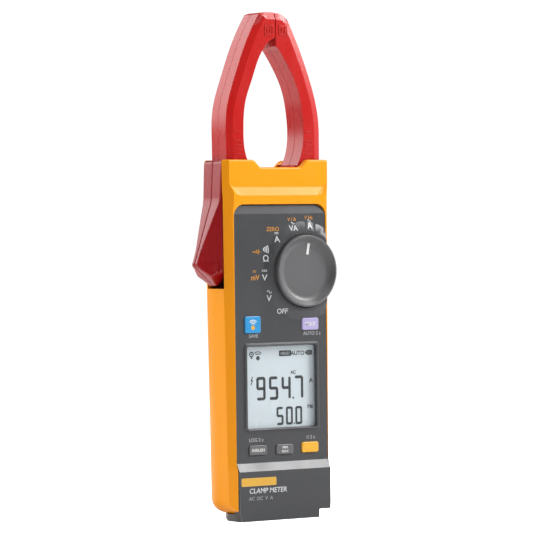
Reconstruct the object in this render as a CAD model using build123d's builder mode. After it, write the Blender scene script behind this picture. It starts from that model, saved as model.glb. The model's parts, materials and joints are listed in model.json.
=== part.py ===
from build123d import *
import math
import os

os.makedirs("parts", exist_ok=True)

# A hand-held clamp meter, standing on its jack end. Millimetres.
# +X is the right of someone looking at the display, -Y is the display side, +Z is towards the jaw tips.

# ---- driving dimensions: case ----
CASE_TOP = 199.2  # top edge of the yellow shells
SHELL_BOTTOM = 4.0  # lower edge of the yellow shells, above the jack end
CASE_HALF_WIDTH = 33.7  # at the jack end; the sides open upwards
SIDE_DRAFT = 0.55  # degrees
CORNER_RADIUS = 24.0  # back corners
CORNER_Y = -4.4  # where the flat side ends and the back corner starts
SEAM_Y = -4.0  # parting plane of the shells
WALL = 2.4
BACK_Y = 22.5
CASE_FRONT = -18.3
LOW_FRONT = -20.6  # front of the thicker jack end
FRAME_FRONT, PLATE_FRONT = -18.9, -17.0  # the frame above the fascia, and the sunk plate above that
DIP_X, DIP_Z, DIP_FLOOR, DIP_TOP = 2.0, 195.0, 13.8, 17.6  # the dip between the jaws
DIP_RADIUS = 4.2
TOP_SOFTENING = 1.2
STEP_LOW, STEP_HIGH = 27.5, 32.0  # the slope between the two fronts
CAVITY_FRONT = -13.8

# ---- driving dimensions: fascia ----
PANEL_HALF_WIDTH = 30.6
PANEL_TOP = 174.3
PANEL_FRONT = -18.0
PANEL_BACK = -15.5
PANEL_LOW_FRONT = -20.7
PANEL_GAP = 0.3
PANEL_CORNER = 6.5
LEDGE = 2.4  # width of the rim that the fascia is bonded to

# ---- driving dimensions: jaws and trigger ----
JAW_FRONT, JAW_BACK = -13.1, 3.0
JAW_SEAM = -4.4
JAW_WALL = 1.7
BEVEL_WIDTH, BEVEL_DEPTH, BEVEL_START = 4.0, 1.1, 0.02  # bevel round the front of a jaw
BACK_BEVEL_WIDTH, BACK_BEVEL_DEPTH, BACK_BEVEL_LOW = 2.2, 0.8, 197.0  # and round its back, above the case
PIVOT_X, PIVOT_Z = 19.0, 187.5
PIN_RADIUS = 2.5
RUNNING_GAP = 0.05
BOSS_RADIUS = 9.3
TIP_SPLIT_X = 2.0
TIP_GAP = 0.4
TRIGGER_FRONT, TRIGGER_BACK = -13.3, 4.5
SLOT_FLOOR = 128.2  # lower end of the trigger's slot in the case
SLOT_BACK = 5.2  # back of the slots that the jaws and the trigger swing in
JAW_ROOM_X = 34.6  # right wall of the jaws' slot, clear of the opened jaw
# The scooped sides, as height, where they leave the case's side, and where and how narrow the finger face is.
SCOOP_ROWS = (
    (125.0, -38.5, -46.8, 3.4),
    (137.4, -38.5, -46.8, 3.4),
    (143.4, -35.0, -45.4, 2.9),
    (203.0, -35.0, -45.4, 2.9),
)

SPRING_SEAT_X, SPRING_END_X, SPRING_Y, SPRING_Z = -15.0, -33.1, 0.4, 165.0
SPRING_RADIUS, SPRING_WIRE, SPRING_PITCH, SPRING_PLAY = 3.2, 0.45, 2.6, 0.15

# ---- driving dimensions: gear sectors ----
GEAR_TEETH_FULL = 24
GEAR_ADDENDUM, GEAR_DEDENDUM = 1.3, 1.8
GEAR_BACKLASH = 0.5
PRESSURE_ANGLE = math.radians(20)
GEAR_THICKNESS = 4.0

# ---- driving dimensions: display ----
WINDOW_HALF, WINDOW_LOW, WINDOW_HIGH = 22.8, 50.9, 95.9
WINDOW_SEAT = -16.9  # floor of the pocket that the lens sits in, behind the fascia
POCKET_HALF, POCKET_LOW, POCKET_HIGH = 26.2, 48.2, 98.8
LENS_FRONT, LENS_BACK = -16.8, -15.9
GLASS_FRONT, GLASS_BACK = -15.8, -14.4
RIM_HALF, RIM_LOW, RIM_HIGH = 25.2, 49.3, 97.9
RIM_FRONT = -18.9

# ---- driving dimensions: rotary switch ----
KNOB_X, KNOB_Z = 15.8, 137.4
KNOB_RADIUS, KNOB_TOP_RADIUS = 20.2, 19.9
KNOB_TOP, KNOB_BASE = -22.2, -17.9
DISH_STEP_RADIUS, DISH_STEP = 16.5, -20.0
DISH_RADIUS, DISH_BOTTOM = 14.1, -19.3
POINTER_WIDTH, POINTER_INNER, POINTER_OUTER = 1.5, 9.2, 15.4
POINTER_FLOOR = -18.9
POINTER_ANGLE = -10.0  # degrees from straight up, anticlockwise from the front
PLATEAU_TOP = -19.6
PLATEAU_INNER, PLATEAU_OUTER, PLATEAU_FOOT = 20.7, 22.0, 27.5
PLATEAU_FLOOR = -17.7
HUB_RADIUS = 4.95

# ---- driving dimensions: keys, as x, z, width, height ----
KEYS = {
    "key_save": (-19.3, 108.2, 10.5, 9.3),
    "key_max": (19.4, 107.8, 11.2, 6.8),
    "key_inrush": (-16.7, 39.0, 11.7, 5.5),
    "key_min_max": (1.25, 38.8, 11.5, 5.6),
    "key_backlight": (18.4, 39.2, 11.3, 5.8),
}
KEY_FRONT = -19.0
KEY_GAP = 0.2
KEY_FLANGE = 0.9
MAT_FRONT, MAT_BACK, MAT_HALF = -13.85, -13.0, 26.4
MAT_ROWS = ((103.2, 113.4), (34.4, 43.6))

# ---- driving dimensions: electronics, battery, jacks ----
BOARD_FRONT, BOARD_THICKNESS = -9.4, 1.6
BOARD_BACK = BOARD_FRONT + BOARD_THICKNESS
CELL_RADIUS, CELL_LENGTH, CELL_X, CELL_Y, CELL_LOW = 7.15, 50.5, 8.0, 9.0, 41.0
TRAY_HALF, TRAY_FRONT, TRAY_BACK, TRAY_LOW, TRAY_HIGH = 17.0, 0.4, 16.4, 36.5, 96.0
DOOR_HALF, DOOR_LOW, DOOR_HIGH = 18.4, 25.0, 99.0
DOOR_GAP = 0.25
DOOR_SCREW_Z = 30.0
JACK_X, JACK_Y = 9.5, -3.0
JACK_BORE, JACK_SLEEVE, JACK_WELL = 2.0, 2.9, 4.8
JACK_MOUTH, JACK_END, JACK_ROOF = 3.0, 24.0, 20.0
SCREWS = ((-26.0, 15.0), (26.0, 15.0), (-7.0, 177.2), (7.0, 177.2))
SCREW_RADIUS, SCREW_HEAD, SCREW_BOSS = 1.5, 2.6, 3.3


def save(piece, name):
    """Labels a finished piece and writes it under its node's name."""
    piece.part.label = name
    export_step(piece.part, f"parts/{name}.step")


def slab(x0, x1, y0, y1, z0, z1):
    """A plain block between two corners."""
    size = Box(x1 - x0, y1 - y0, z1 - z0, mode=Mode.PRIVATE)
    return size.moved(Location(((x0 + x1) / 2, (y0 + y1) / 2, (z0 + z1) / 2)))


def rod(x, z, radius, y0, y1):
    """A plain cylinder along Y."""
    shape = Cylinder(radius, y1 - y0, mode=Mode.PRIVATE)
    return shape.moved(Location((x, (y0 + y1) / 2, z), (90, 0, 0)))


def post(x, y, radius, z0, z1):
    """A plain cylinder along Z."""
    shape = Cylinder(radius, z1 - z0, mode=Mode.PRIVATE)
    return shape.moved(Location((x, y, (z0 + z1) / 2)))


# ---------------------------------------------------------------- case form
def case_form(inset, front, low_front, frame_front, bottom, top, foot_radius):
    """The outside of the case, or with an inset the space inside it."""
    corner_x = CASE_HALF_WIDTH - CORNER_RADIUS
    crown_y = CORNER_Y - corner_x
    corner = CORNER_RADIUS - inset
    crown = CORNER_RADIUS + corner_x * math.sqrt(2) - inset
    half = CASE_HALF_WIDTH - inset
    with BuildPart() as form:
        with BuildSketch(Plane.XY.offset(bottom)):
            with BuildLine():
                Line((-half, -30), (-half, CORNER_Y))
                CenterArc((-corner_x, CORNER_Y), corner, 180, -45)
                CenterArc((0, crown_y), crown, 135, -90)
                CenterArc((corner_x, CORNER_Y), corner, 45, -45)
                Line((half, CORNER_Y), (half, -30))
                Line((half, -30), (-half, -30))
            make_face()
        extrude(amount=CASE_TOP + 2 - bottom, taper=-SIDE_DRAFT)
        foot = form.edges().filter_by_position(Axis.Z, bottom - 0.1, bottom + 0.1)
        fillet(foot.filter_by(lambda e: e.center().Y > -25), foot_radius)
        back = BACK_Y - inset
        with BuildSketch(Plane.YZ):
            with BuildLine():
                Polyline(
                    (back, bottom),
                    (low_front, bottom),
                    (low_front, STEP_LOW),
                    (front, STEP_HIGH),
                    (front, PANEL_TOP - 4),
                    (frame_front, PANEL_TOP + 2),
                    (frame_front, top),
                    (11.5 - inset, top),
                )
                Spline((11.5 - inset, top), (15.0 - inset, 172), (back, 132), tangents=((0.12, -1), (0, -1)))
                Line((back, 132), (back, bottom))
            make_face()
        extrude(amount=60, both=True, mode=Mode.INTERSECT)
    return form.part


def flank_cut():
    """The wedges taken off the two front corners, as triangles stacked up the case."""
    rows = (
        # z, front edge x and y, side edge x and y
        (-1.0, 30.3, LOW_FRONT, 34.0, -14.0),
        (STEP_LOW, 30.4, LOW_FRONT, 34.2, -14.0),
        (STEP_HIGH, 31.0, CASE_FRONT, 34.4, -13.5),
        (178.0, 31.4, CASE_FRONT, 35.3, -13.5),
        (185.0, 32.7, -17.0, 35.5, -13.9),
        (203.0, 32.7, -17.0, 35.6, -13.9),
    )
    with BuildPart() as cut:
        for z, front_x, front_y, side_x, side_y in rows:
            run = (side_y - front_y) / (side_x - front_x)
            ahead, aside = front_x - 3, side_x + 3
            with BuildSketch(Plane.XY.offset(z)):
                Polygon(
                    (ahead, front_y - 3 * run),
                    (aside, side_y + 3 * run),
                    (aside + 4, front_y - 3 * run),
                    align=None,
                )
        loft(ruled=True)
        mirror(about=Plane.YZ)
    return cut.part


outside = case_form(0, CASE_FRONT, LOW_FRONT, FRAME_FRONT, SHELL_BOTTOM, CASE_TOP, 8.0)
inside = case_form(WALL, CAVITY_FRONT, CAVITY_FRONT, CAVITY_FRONT, SHELL_BOTTOM + WALL, CASE_TOP - WALL, 5.5)
flanks = flank_cut()

with BuildPart() as case_body:
    add(outside)
    add(flanks, mode=Mode.SUBTRACT)
    # the sunk plate above the fascia, with its sloping edge
    for depth, half, low, radius in ((PLATE_FRONT, 33.2, 184.0, 4.5), (FRAME_FRONT - 0.05, 34.2, 179.3, 9.0)):
        with BuildSketch(Plane.XZ.offset(-depth)):
            with Locations((0, CASE_TOP)):
                RectangleRounded(2 * half, 2 * (CASE_TOP - low), radius)
    loft(ruled=True, mode=Mode.SUBTRACT)
    # the dip between the jaws
    with BuildSketch(Plane.XZ.offset(-30)) as dip:
        with BuildLine():
            Polyline((-29, 201), (-28, CASE_TOP), (-DIP_TOP, CASE_TOP), (-DIP_FLOOR, DIP_Z), (DIP_FLOOR, DIP_Z))
            Polyline((DIP_FLOOR, DIP_Z), (DIP_TOP, CASE_TOP), (28, CASE_TOP), (29, 201), (-29, 201))
        make_face()
        fillet(dip.vertices().filter_by(lambda v: abs(v.X) < 20), DIP_RADIUS)
    extrude(dip.sketch.moved(Location((DIP_X, 0, 0))), amount=60, mode=Mode.SUBTRACT)
    # softened rim of the top
    rim = case_body.faces().filter_by(Axis.Z).filter_by(lambda f: f.center().Z > CASE_TOP - 1).edges()
    fillet(rim, TOP_SOFTENING)

with BuildPart() as case_hollow:
    add(inside)
    # bosses stay solid for the case screws and the two pivot pins
    for x, z in SCREWS:
        add(rod(x, z, SCREW_BOSS, -30, 30), mode=Mode.SUBTRACT)
    for side in (-1, 1):
        add(rod(side * PIVOT_X, PIVOT_Z, 4.5, JAW_BACK + GEAR_THICKNESS + 0.6, 30), mode=Mode.SUBTRACT)
    # open top for the jaws and open side for the trigger
    add(slab(-40, JAW_ROOM_X, CAVITY_FRONT, SLOT_BACK, 188, CASE_TOP + 5))
    add(slab(-40, -28, CAVITY_FRONT, SLOT_BACK, SLOT_FLOOR, CASE_TOP + 5))

# ---------------------------------------------------------------- front shell
with BuildPart() as front_shell:
    add(case_body.part)
    split(bisect_by=Plane.XZ.offset(-SEAM_Y), keep=Keep.TOP)
    add(case_hollow.part, mode=Mode.SUBTRACT)
    with BuildSketch(Plane.XZ.offset(-PANEL_BACK)) as opening:
        half = PANEL_HALF_WIDTH + PANEL_GAP
        with BuildLine():
            Polyline((-half, -2), (half, -2), (half, PANEL_TOP + PANEL_GAP), (-half, PANEL_TOP + PANEL_GAP), (-half, -2))
        make_face()
        fillet(opening.vertices().group_by(Axis.Y)[-1], PANEL_CORNER)
    extrude(amount=12, mode=Mode.SUBTRACT)
    with BuildSketch(Plane.XZ.offset(-CAVITY_FRONT - 1)) as inner_opening:
        half = PANEL_HALF_WIDTH - LEDGE
        with BuildLine():
            Polyline((-half, SHELL_BOTTOM + WALL), (half, SHELL_BOTTOM + WALL), (half, 171), (-half, 171), close=True)
        make_face()
        fillet(inner_opening.vertices().group_by(Axis.Y)[-1], 4)
    extrude(amount=6, mode=Mode.SUBTRACT)
    for x, z in SCREWS:
        add(rod(x, z, SCREW_RADIUS, -13.0, 5), mode=Mode.SUBTRACT)
    for side in (-1, 1):
        add(rod(side * PIVOT_X, PIVOT_Z, PIN_RADIUS, -15.8, 0), mode=Mode.SUBTRACT)
    # seat of the jack block, and the recess that the rotary switch turns in
    add(slab(-19.2, 19.2, -30, 10, 0, 12), mode=Mode.SUBTRACT)
    add(rod(KNOB_X, KNOB_Z, PLATEAU_INNER, -30, PLATEAU_FLOOR), mode=Mode.SUBTRACT)
save(front_shell, "front_shell")

# ---------------------------------------------------------------- back shell
with BuildPart() as back_shell:
    add(case_body.part)
    split(bisect_by=Plane.XZ.offset(-SEAM_Y), keep=Keep.BOTTOM)
    add(case_hollow.part, mode=Mode.SUBTRACT)
    for x, z in SCREWS:
        add(rod(x, z, SCREW_RADIUS, -8, 30), mode=Mode.SUBTRACT)
        add(rod(x, z, SCREW_HEAD + 0.3, 7.0, 30), mode=Mode.SUBTRACT)
    for side in (-1, 1):
        add(rod(side * PIVOT_X, PIVOT_Z, PIN_RADIUS, 5, 10.4), mode=Mode.SUBTRACT)
    # opening of the battery door
    add(slab(-DOOR_HALF, DOOR_HALF, 8, 30, DOOR_LOW, DOOR_HIGH), mode=Mode.SUBTRACT)
    # bridge with the boss of the door's screw
    add(slab(-24, 24, 11.0, 13.2, DOOR_LOW - 1, DOOR_SCREW_Z + 5.6) & inside)
    add(rod(0, DOOR_SCREW_Z, 3.4, 4, 13.2))
    add(rod(0, DOOR_SCREW_Z, SCREW_RADIUS + RUNNING_GAP, 5, 30), mode=Mode.SUBTRACT)
    add(slab(-19.2, 19.2, -30, 10.2, 0, 12), mode=Mode.SUBTRACT)
    # rib that the trigger's spring pushes on
    add(slab(SPRING_SEAT_X, SPRING_SEAT_X + 1.6, SEAM_Y, 30, SPRING_Z - 5, SPRING_Z + 5) & inside)
save(back_shell, "back_shell")

# ---------------------------------------------------------------- battery door
with BuildPart() as battery_door:
    add(outside)
    add(inside, mode=Mode.SUBTRACT)
    add(
        slab(-DOOR_HALF + DOOR_GAP, DOOR_HALF - DOOR_GAP, 13.4, 30, DOOR_LOW + DOOR_GAP, DOOR_HIGH - DOOR_GAP),
        mode=Mode.INTERSECT,
    )
    add(rod(0, DOOR_SCREW_Z, 4.6, 17.0, 21.0))
    add(rod(0, DOOR_SCREW_Z, SCREW_RADIUS + RUNNING_GAP, 10, 30), mode=Mode.SUBTRACT)
    add(rod(0, DOOR_SCREW_Z, 3.5, 19.4, 30), mode=Mode.SUBTRACT)
save(battery_door, "battery_door")

with BuildPart() as battery_door_screw:
    add(rod(0, DOOR_SCREW_Z, SCREW_RADIUS, 6.0, 19.6))
    add(rod(0, DOOR_SCREW_Z, 3.2, 19.4, 21.6))
    add(slab(-4, 4, 20.8, 22, DOOR_SCREW_Z - 0.5, DOOR_SCREW_Z + 0.5), mode=Mode.SUBTRACT)
save(battery_door_screw, "battery_door_screw")

# ---------------------------------------------------------------- case screws
with BuildPart() as case_screws:
    for x, z in SCREWS:
        add(rod(x, z, SCREW_RADIUS, -12.6, 7.2))
        add(rod(x, z, SCREW_HEAD, 7.0, 8.8))
        add(slab(x - 1.7, x + 1.7, 8.0, 9, z - 0.35, z + 0.35), mode=Mode.SUBTRACT)
        add(slab(x - 0.35, x + 0.35, 8.0, 9, z - 1.7, z + 1.7), mode=Mode.SUBTRACT)
save(case_screws, "case_screws")

# ---------------------------------------------------------------- fascia
with BuildPart() as panel_plate:
    with BuildSketch(Plane.YZ):
        with BuildLine():
            Polyline(
                (PANEL_BACK, 0),
                (PANEL_LOW_FRONT, 0),
                (PANEL_LOW_FRONT, STEP_LOW),
                (PANEL_FRONT, STEP_HIGH),
                (PANEL_FRONT, 169.2),
                (PANEL_FRONT + 0.9, PANEL_TOP),
                (PANEL_BACK, PANEL_TOP),
                close=True,
            )
        make_face()
    extrude(amount=PANEL_HALF_WIDTH, both=True)
    # the plain corners of the top, and the narrow foot with its notch
    with BuildSketch(Plane.XZ) as outline:
        with BuildLine():
            Polyline(
                (-29.6, 0),
                (22.6, 0),
                (22.9, 4.6),
                (PANEL_HALF_WIDTH - 0.2, 4.6),
                (PANEL_HALF_WIDTH, 8),
                (PANEL_HALF_WIDTH, PANEL_TOP),
                (-PANEL_HALF_WIDTH, PANEL_TOP),
                (-PANEL_HALF_WIDTH, 4.6),
                close=True,
            )
        make_face()
        fillet(outline.vertices().group_by(Axis.Y)[-1], PANEL_CORNER)
    extrude(amount=30, mode=Mode.INTERSECT)

# raised ring round the rotary switch
with BuildPart() as plateau:
    with BuildSketch(Plane.XY.offset(KNOB_Z)):
        with BuildLine():
            Polyline(
                (KNOB_X, PANEL_BACK),
                (KNOB_X + PLATEAU_FOOT, PANEL_BACK),
                (KNOB_X + PLATEAU_FOOT, PANEL_FRONT),
                (KNOB_X + PLATEAU_OUTER, PLATEAU_TOP),
                (KNOB_X, PLATEAU_TOP),
                close=True,
            )
        make_face()
    revolve(axis=Axis((KNOB_X, 0, KNOB_Z), (0, 1, 0)))
    add(slab(-40, PANEL_HALF_WIDTH, -30, 0, 100, 180), mode=Mode.INTERSECT)

with BuildPart() as front_panel:
    add(panel_plate.part)
    add(plateau.part)
    add(rod(KNOB_X, KNOB_Z, PLATEAU_INNER, -30, PLATEAU_FLOOR), mode=Mode.SUBTRACT)
    add(rod(KNOB_X, KNOB_Z, HUB_RADIUS + RUNNING_GAP, -30, 0), mode=Mode.SUBTRACT)
    # display rim and its flared window
    with BuildSketch(Plane.XZ.offset(-PANEL_FRONT)):
        with Locations((0, (RIM_LOW + RIM_HIGH) / 2)):
            RectangleRounded(2 * RIM_HALF, RIM_HIGH - RIM_LOW, 2.2)
    extrude(amount=PANEL_FRONT - RIM_FRONT, taper=35)
    with BuildSketch(Plane.XZ.offset(-WINDOW_SEAT)):
        with Locations((0, (WINDOW_LOW + WINDOW_HIGH) / 2)):
            RectangleRounded(2 * WINDOW_HALF, WINDOW_HIGH - WINDOW_LOW, 1.2)
    extrude(amount=6, taper=-18, mode=Mode.SUBTRACT)
    add(slab(-POCKET_HALF, POCKET_HALF, WINDOW_SEAT, 0, POCKET_LOW, POCKET_HIGH), mode=Mode.SUBTRACT)
    # key holes
    for x, z, width, height in KEYS.values():
        with BuildSketch(Plane.XZ):
            with Locations((x, z)):
                RectangleRounded(width + 2 * KEY_GAP, height + 2 * KEY_GAP, 1.4)
        extrude(amount=40, mode=Mode.SUBTRACT)
save(front_panel, "front_panel")

# ---------------------------------------------------------------- jack end
with BuildPart() as bottom_cap:
    with BuildSketch() as foot_outline:
        with BuildLine():
            Polyline(
                (-29.6, PANEL_BACK),
                (-29.6, -7),
                (-18, 12.5),
                (16, 12.5),
                (22.6, -7),
                (22.6, PANEL_BACK),
                close=True,
            )
        make_face()
        fillet(foot_outline.vertices().filter_by(lambda v: v.Y > -10), 4)
    extrude(amount=SHELL_BOTTOM)
    add(slab(-19, 19, PANEL_BACK, 10, 0, JACK_END))
    for side in (-1, 1):
        add(post(side * JACK_X, JACK_Y, JACK_WELL, -1, JACK_ROOF), mode=Mode.SUBTRACT)
        add(post(side * JACK_X, JACK_Y, JACK_SLEEVE, -1, JACK_END + 1), mode=Mode.SUBTRACT)
save(bottom_cap, "bottom_cap")

for name, side in (("jack_com", -1), ("jack_volt", 1)):
    with BuildPart() as jack:
        add(post(side * JACK_X, JACK_Y, JACK_SLEEVE, JACK_MOUTH, JACK_END + 2))
        add(post(side * JACK_X, JACK_Y, JACK_BORE, JACK_MOUTH - 1, JACK_END - 2), mode=Mode.SUBTRACT)
        add(post(side * JACK_X, JACK_Y, 0.8, JACK_END + 2, JACK_END + 4.4))
    save(jack, name)

# ---------------------------------------------------------------- display
with BuildPart() as lcd_lens:
    add(slab(-26, 26, LENS_FRONT, LENS_BACK, 48.4, 98.6))
save(lcd_lens, "lcd_lens")

with BuildPart() as lcd_glass:
    add(slab(-25, 25, GLASS_FRONT, GLASS_BACK, 48.8, 98.2))
save(lcd_glass, "lcd_glass")

with BuildPart() as lcd_backlight:
    add(slab(-24.5, 24.5, GLASS_BACK + 0.1, BOARD_FRONT, 52.2, 94.8))
save(lcd_backlight, "lcd_backlight")

with BuildPart() as zebra_strips:
    for low in (49.4, 95.6):
        add(slab(-23, 23, GLASS_BACK, BOARD_FRONT, low, low + 2))
save(zebra_strips, "zebra_strips")

# ---------------------------------------------------------------- electronics
with BuildPart() as main_board:
    with BuildSketch(Plane.XZ.offset(-BOARD_BACK)):
        with BuildLine():
            Polyline(
                (-27, 27),
                (27, 27),
                (27, 124),
                (29, 124),
                (29, 160),
                (-10, 160),
                (-10, 124),
                (-27, 124),
                close=True,
            )
        make_face()
    extrude(amount=BOARD_THICKNESS)
save(main_board, "main_board")

with BuildPart() as board_components:
    chips = (
        (-6, 60, 14, 14, 1.8),
        (14, 74, 9, 12, 2.2),
        (-16, 82, 8, 8, 1.6),
        (-14, 104, 12, 5, 3.0),
        (4, 104, 6, 6, 2.4),
        (4, 118, 14, 5, 3.2),
        (20, 94, 5, 9, 4.0),
        (-18, 44, 10, 16, 5.0),
        (16, 50, 12, 6, 2.6),
    )
    for x, z, width, height, depth in chips:
        add(slab(x - width / 2, x + width / 2, BOARD_BACK, BOARD_BACK + depth, z - height / 2, z + height / 2))
    for side in (-1, 1):
        add(rod(side * JACK_X, 32.4, 2.2, BOARD_BACK, BOARD_BACK + 6.5))
save(board_components, "board_components")

with BuildPart() as wireless_module:
    add(slab(12, 27, BOARD_BACK, BOARD_BACK + 0.8, 106, 122))
    add(slab(14, 24, BOARD_BACK + 0.8, BOARD_BACK + 2.4, 107, 116))
save(wireless_module, "wireless_module")

with BuildPart() as buzzer:
    add(rod(18, 150, 6.0, BOARD_BACK, BOARD_BACK + 4.5))
    add(rod(18, 150, 1.0, BOARD_BACK + 3, BOARD_BACK + 6), mode=Mode.SUBTRACT)
save(buzzer, "buzzer")

# ---------------------------------------------------------------- rotary switch
with BuildPart() as knob_form:
    with BuildSketch(Plane.XY.offset(KNOB_Z)):
        with BuildLine():
            Polyline(
                (KNOB_X, DISH_BOTTOM),
                (KNOB_X, KNOB_BASE),
                (KNOB_X + KNOB_RADIUS, KNOB_BASE),
                (KNOB_X + KNOB_TOP_RADIUS + 0.1, KNOB_TOP + 0.6),
                (KNOB_X + KNOB_TOP_RADIUS - 0.5, KNOB_TOP),
                (KNOB_X + KNOB_TOP_RADIUS - 1.0, KNOB_TOP),
            )
            ThreePointArc(
                (KNOB_X + KNOB_TOP_RADIUS - 1.0, KNOB_TOP),
                (KNOB_X + DISH_STEP_RADIUS + 0.8, DISH_STEP - 0.75),
                (KNOB_X + DISH_STEP_RADIUS, DISH_STEP),
            )
            ThreePointArc(
                (KNOB_X + DISH_STEP_RADIUS, DISH_STEP),
                (KNOB_X + (DISH_STEP_RADIUS + DISH_RADIUS) / 2, (DISH_STEP + DISH_BOTTOM) / 2 + 0.15),
                (KNOB_X + DISH_RADIUS, DISH_BOTTOM),
            )
            Line((KNOB_X + DISH_RADIUS, DISH_BOTTOM), (KNOB_X, DISH_BOTTOM))
        make_face()
    revolve(axis=Axis((KNOB_X, 0, KNOB_Z), (0, 1, 0)))

pointer_slot = slab(
    KNOB_X - POINTER_WIDTH / 2,
    KNOB_X + POINTER_WIDTH / 2,
    -30,
    POINTER_FLOOR,
    KNOB_Z + POINTER_INNER,
    KNOB_Z + POINTER_OUTER,
).rotate(Axis((KNOB_X, 0, KNOB_Z), (0, -1, 0)), POINTER_ANGLE)

with BuildPart() as knob_pointer:
    add(knob_form.part.moved(Location((0, -0.12, 0))))
    add(pointer_slot, mode=Mode.INTERSECT)
save(knob_pointer, "knob_pointer")

with BuildPart() as knob:
    add(knob_form.part)
    add(pointer_slot, mode=Mode.SUBTRACT)
    add(rod(KNOB_X, KNOB_Z, HUB_RADIUS, KNOB_BASE - 0.5, -10.4))
save(knob, "knob")

with BuildPart() as switch_rotor:
    add(rod(KNOB_X, KNOB_Z, 12.0, -14.6, -12.8))
    add(rod(KNOB_X, KNOB_Z, HUB_RADIUS, -16, -10), mode=Mode.SUBTRACT)
    with BuildSketch(Plane.XZ.offset(12.8)):
        with Locations((KNOB_X, KNOB_Z)):
            with PolarLocations(9.2, 3):
                Rectangle(2.0, 3.2)
    extrude(amount=-2.6)
save(switch_rotor, "switch_rotor")

# ---------------------------------------------------------------- keys
for name, (x, z, width, height) in KEYS.items():
    with BuildPart() as key:
        with BuildSketch(Plane.XZ.offset(-PANEL_BACK - 0.1)):
            with Locations((x, z)):
                RectangleRounded(width, height, 1.2)
        extrude(amount=PANEL_BACK + 0.1 - KEY_FRONT - 0.2)
        fillet(key.faces().sort_by(Axis.Y)[0].edges(), 0.5)
        with BuildSketch(Plane.XZ.offset(-PANEL_BACK - 0.1)):
            with Locations((x, z)):
                RectangleRounded(width + 2 * KEY_FLANGE, height + 2 * KEY_FLANGE, 1.4)
        extrude(amount=-0.6)
    save(key, name)

with BuildPart() as keypad_mats:
    for low, high in MAT_ROWS:
        add(slab(-MAT_HALF, MAT_HALF, MAT_FRONT, MAT_BACK, low, high))
    for x, z, width, height in KEYS.values():
        add(rod(x, z, 2.0, MAT_BACK, BOARD_FRONT - 0.8))
save(keypad_mats, "keypad_mats")

# ---------------------------------------------------------------- battery
with BuildPart() as battery_tray:
    add(slab(-TRAY_HALF, TRAY_HALF, TRAY_FRONT, TRAY_BACK, TRAY_LOW, TRAY_HIGH))
    add(
        slab(-TRAY_HALF + 1.2, TRAY_HALF - 1.2, TRAY_FRONT + 1.2, 30, TRAY_LOW + 1.2, TRAY_HIGH - 1.2),
        mode=Mode.SUBTRACT,
    )
save(battery_tray, "battery_tray")

with BuildPart() as battery_cells:
    for x in (-CELL_X, CELL_X):
        add(post(x, CELL_Y, CELL_RADIUS, CELL_LOW, CELL_LOW + CELL_LENGTH - 1.2))
        add(post(x, CELL_Y, 2.7, CELL_LOW + CELL_LENGTH - 1.2, CELL_LOW + CELL_LENGTH))
save(battery_cells, "battery_cells")

with BuildPart() as battery_contacts:
    for x in (-CELL_X, CELL_X):
        add(slab(x - 5, x + 5, CELL_Y - 5, CELL_Y + 5, TRAY_LOW + 1.2, TRAY_LOW + 1.6))
        add(post(x, CELL_Y, 3.2, TRAY_LOW + 1.6, CELL_LOW))
        add(slab(x - 5, x + 5, CELL_Y - 5, CELL_Y + 5, TRAY_HIGH - 1.6, TRAY_HIGH - 1.2))
        add(post(x, CELL_Y, 2.0, CELL_LOW + CELL_LENGTH, TRAY_HIGH - 1.6))
save(battery_contacts, "battery_contacts")


# ---------------------------------------------------------------- jaws
# Points of each arm's outline from the root to the tip, and the end of the slanted part of its tip.
OUTER_POINTS = {
    -1: ((-31.3, 192), (-31.3, 212), (-30.5, 227), (-25.5, 243.4), (-16.5, 265.6), (-8.4, 279.9)),
    1: ((31.4, 192), (31.5, 206), (30.9, 223), (25.4, 244.1), (18.9, 260.4), (14.9, 269.0), (12.3, 274.2)),
}
INNER_POINTS = {
    -1: ((-16, 196), (-19.4, 204.7), (-20.1, 216), (-18.3, 232.4), (-14.1, 243.5), (-7.9, 258), (-1.7, 265.3)),
    1: ((15.6, 195.6), (19.8, 208), (19.6, 224), (16.2, 239.5), (11.9, 248.4), (5.9, 257.8), (4.4, 259.9)),
}
TIP_CROWN = {-1: (-3.5, 281.0), 1: (4.6, 280.6)}
TIP_BULGE = {-1: 0.3, 1: 1.3}
TIP_INNER_Z = {-1: 267.0, 1: 262.1}
ROOT_Z = 190.0


def moved_in(points, distance):
    """The points, each moved squarely off the line through its neighbours, to its right."""
    out = []
    for k, (x, z) in enumerate(points):
        x0, z0 = points[max(0, k - 1)]
        x1, z1 = points[min(len(points) - 1, k + 1)]
        length = math.hypot(x1 - x0, z1 - z0)
        out.append((x + distance * (z1 - z0) / length, z - distance * (x1 - x0) / length))
    return out


def bulged(start, end, rise):
    """The middle of a chord, moved up and out by the rise."""
    across, up = end[0] - start[0], end[1] - start[1]
    length = math.hypot(across, up)
    outward = math.copysign(rise, -across)
    return ((start[0] + end[0]) / 2 + outward * abs(up) / length, (start[1] + end[1]) / 2 + rise * abs(across) / length)


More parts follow.
